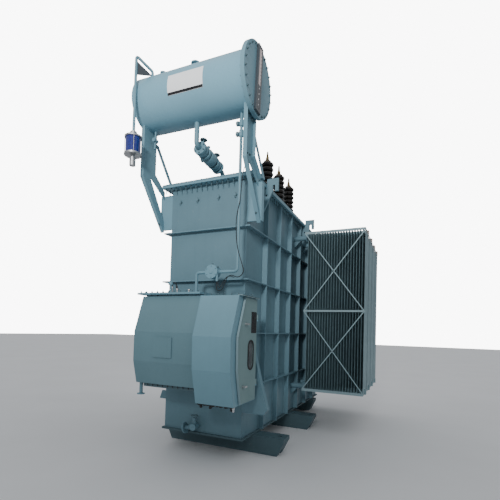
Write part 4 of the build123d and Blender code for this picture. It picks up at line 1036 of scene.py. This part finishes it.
def radiator_mesh():
    """One radiator about its own middle: panels with two headers."""
    half = (high("radiator_right_1") - low("radiator_right_1")) / 2
    shape = Shape()
    for i in range(PANEL_COUNT):
        panel(shape, FIRST_PANEL - half.x + i * PANEL_PITCH, -half.y, half.y, -half.z, half.z)
    for z0, z1 in ((half.z - HEADER_TALL, half.z), (-half.z, -half.z + HEADER_TALL)):
        shape.block((-half.x, -HEADER_HALF, z0), (half.x, HEADER_HALF, z1))
    return shape


def radiators():
    """Eight radiators that share one mesh, turned half a turn on the left."""
    first = radiator_mesh().done("radiator_fins", FIN_PAINT)
    mesh = first.data
    bpy.data.objects.remove(first)
    for node in sorted(NODES):
        if not node.startswith(("radiator_right_", "radiator_left_")):
            continue
        piece = bpy.data.objects.new(node + "_fins", mesh)
        bpy.context.scene.collection.objects.link(piece)
        piece.location = middle(node)
        if "left" in node:
            piece.rotation_euler.z = math.pi
        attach(piece, UNIT)
        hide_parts(node)


def bracing():
    """Three rails and crossed stays over the front of each foremost radiator."""
    shape = Shape()
    a, b = low("radiator_bracing"), high("radiator_bracing")
    inner, depth = low("radiator_right_1").x, b.y - a.y
    rails = ((a.z + RAIL / 2, RAIL), ((a.z + b.z) / 2, MIDDLE_RAIL), (b.z - RAIL / 2, RAIL))
    centre = rails[1][0]
    for side in (1, -1):
        x0, x1 = side * inner, side * b.x
        for z, width in rails:
            shape.flat_bar((x0, a.y, z), (x1, a.y, z), width, depth)
        for z0, z1 in ((a.z + 0.040, centre - 0.010), (centre + 0.010, b.z - 0.040)):
            for start, end in ((z0, z1), (z1, z0)):
                shape.flat_bar((x0 + side * 0.010, a.y + 0.001, start),
                               (x1 - side * 0.010, a.y + 0.001, end), STAY, depth - 0.002)
        for z, _ in rails:
            for x in (x0 + side * 0.020, x1 - side * 0.020):
                shape.bolt((x, a.y + 0.001, z), -BACK, 0.007)
    piece = shape.done("radiator_stays", STAY_AND_HIGHLIGHT_PAINT)
    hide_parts("radiator_bracing")


radiators()
bracing()


# Stage, light and camera

FLOOR_REACH = 60.0
ROOM_LIGHT, SEEN_LIGHT = 0.85, 9.0
LAMP_AT, LAMP_AIM = Vector((2.2, -9.2, 5.6)), Vector((0.0, -0.6, 4.5))
LAMP_POWER, LAMP_CONE, LAMP_RADIUS = 2900, math.radians(52), 0.7


def floor():
    """A plain pale floor just under the part."""
    mesh = bpy.data.meshes.new("floor")
    bm = bmesh.new()
    bmesh.ops.create_grid(bm, x_segments=1, y_segments=1, size=FLOOR_REACH)
    bm.to_mesh(mesh)
    bm.free()
    ground = bpy.data.objects.new("floor", mesh)
    ground.location = (0, 0, -0.001)
    bpy.context.scene.collection.objects.link(ground)
    n = Nodes("pale_floor")
    grey = n.ramp(n.noise(0.6, 3.0), [(0.2, (0.74, 0.74, 0.74)), (0.8, (0.80, 0.80, 0.80))])
    mesh.materials.append(n.finish(grey, 0.6))


def studio():
    """Soft light that is stronger from above, and a white background for the camera alone."""
    world = bpy.data.worlds.new("studio")
    world.use_nodes = True
    tree = world.node_tree
    room, seen = tree.nodes["Background"], tree.nodes.new("ShaderNodeBackground")
    place, height, sky, path, mix = (tree.nodes.new("ShaderNode" + kind) for kind in (
        "TexCoord", "SeparateXYZ", "ValToRGB", "LightPath", "MixShader"))
    dim, bright = sky.color_ramp.elements
    dim.position, dim.color = 0.0, (0.36, 0.38, 0.40, 1.0)
    bright.position, bright.color = 0.9, (0.93, 0.96, 1.0, 1.0)
    room.inputs["Strength"].default_value = ROOM_LIGHT
    seen.inputs["Color"].default_value = (1.0, 1.0, 1.0, 1.0)
    seen.inputs["Strength"].default_value = SEEN_LIGHT
    for start, end in (
            (place.outputs["Generated"], height.inputs[0]),
            (height.outputs["Z"], sky.inputs["Fac"]),
            (sky.outputs["Color"], room.inputs["Color"]),
            (path.outputs["Is Camera Ray"], mix.inputs[0]),
            (room.outputs[0], mix.inputs[1]),
            (seen.outputs[0], mix.inputs[2]),
            (mix.outputs[0], tree.nodes["World Output"].inputs["Surface"])):
        tree.links.new(start, end)
    bpy.context.scene.world = world


def lamp():
    """A soft round lamp that fades towards the edge of its cone."""
    light = bpy.data.lights.new("key", "SPOT")
    light.energy, light.spot_size = LAMP_POWER, LAMP_CONE
    light.spot_blend, light.shadow_soft_size = 1.0, LAMP_RADIUS
    stand = bpy.data.objects.new("key", light)
    stand.location = LAMP_AT
    stand.rotation_euler = (LAMP_AIM - LAMP_AT).to_track_quat("-Z", "Y").to_euler()
    bpy.context.scene.collection.objects.link(stand)


def camera():
    """The photograph's camera."""
    a, b, c = CAMERA_YAW, CAMERA_PITCH, CAMERA_ROLL
    ahead = Vector((-math.sin(a) * math.cos(b), math.cos(a) * math.cos(b), math.sin(b)))
    level = Vector((math.cos(a), math.sin(a), 0))
    above = level.cross(ahead)
    right = level * math.cos(c) + above * math.sin(c)
    up = above * math.cos(c) - level * math.sin(c)
    data = bpy.data.cameras.new("camera")
    data.sensor_fit = "HORIZONTAL"
    data.sensor_width = SENSOR
    data.lens = FOCAL_PX / PHOTO_SIDE * SENSOR
    data.shift_x = (PHOTO_SIDE / 2 - CENTRE_X_PX) / PHOTO_SIDE
    data.shift_y = (CENTRE_Y_PX - PHOTO_SIDE / 2) / PHOTO_SIDE
    data.clip_end = 200.0
    eye = bpy.data.objects.new("camera", data)
    turn = Matrix((right, up, -ahead)).transposed().to_4x4()
    eye.matrix_world = Matrix.Translation(CAMERA_AT) @ turn
    bpy.context.scene.collection.objects.link(eye)
    bpy.context.scene.camera = eye


floor()
studio()
lamp()
camera()
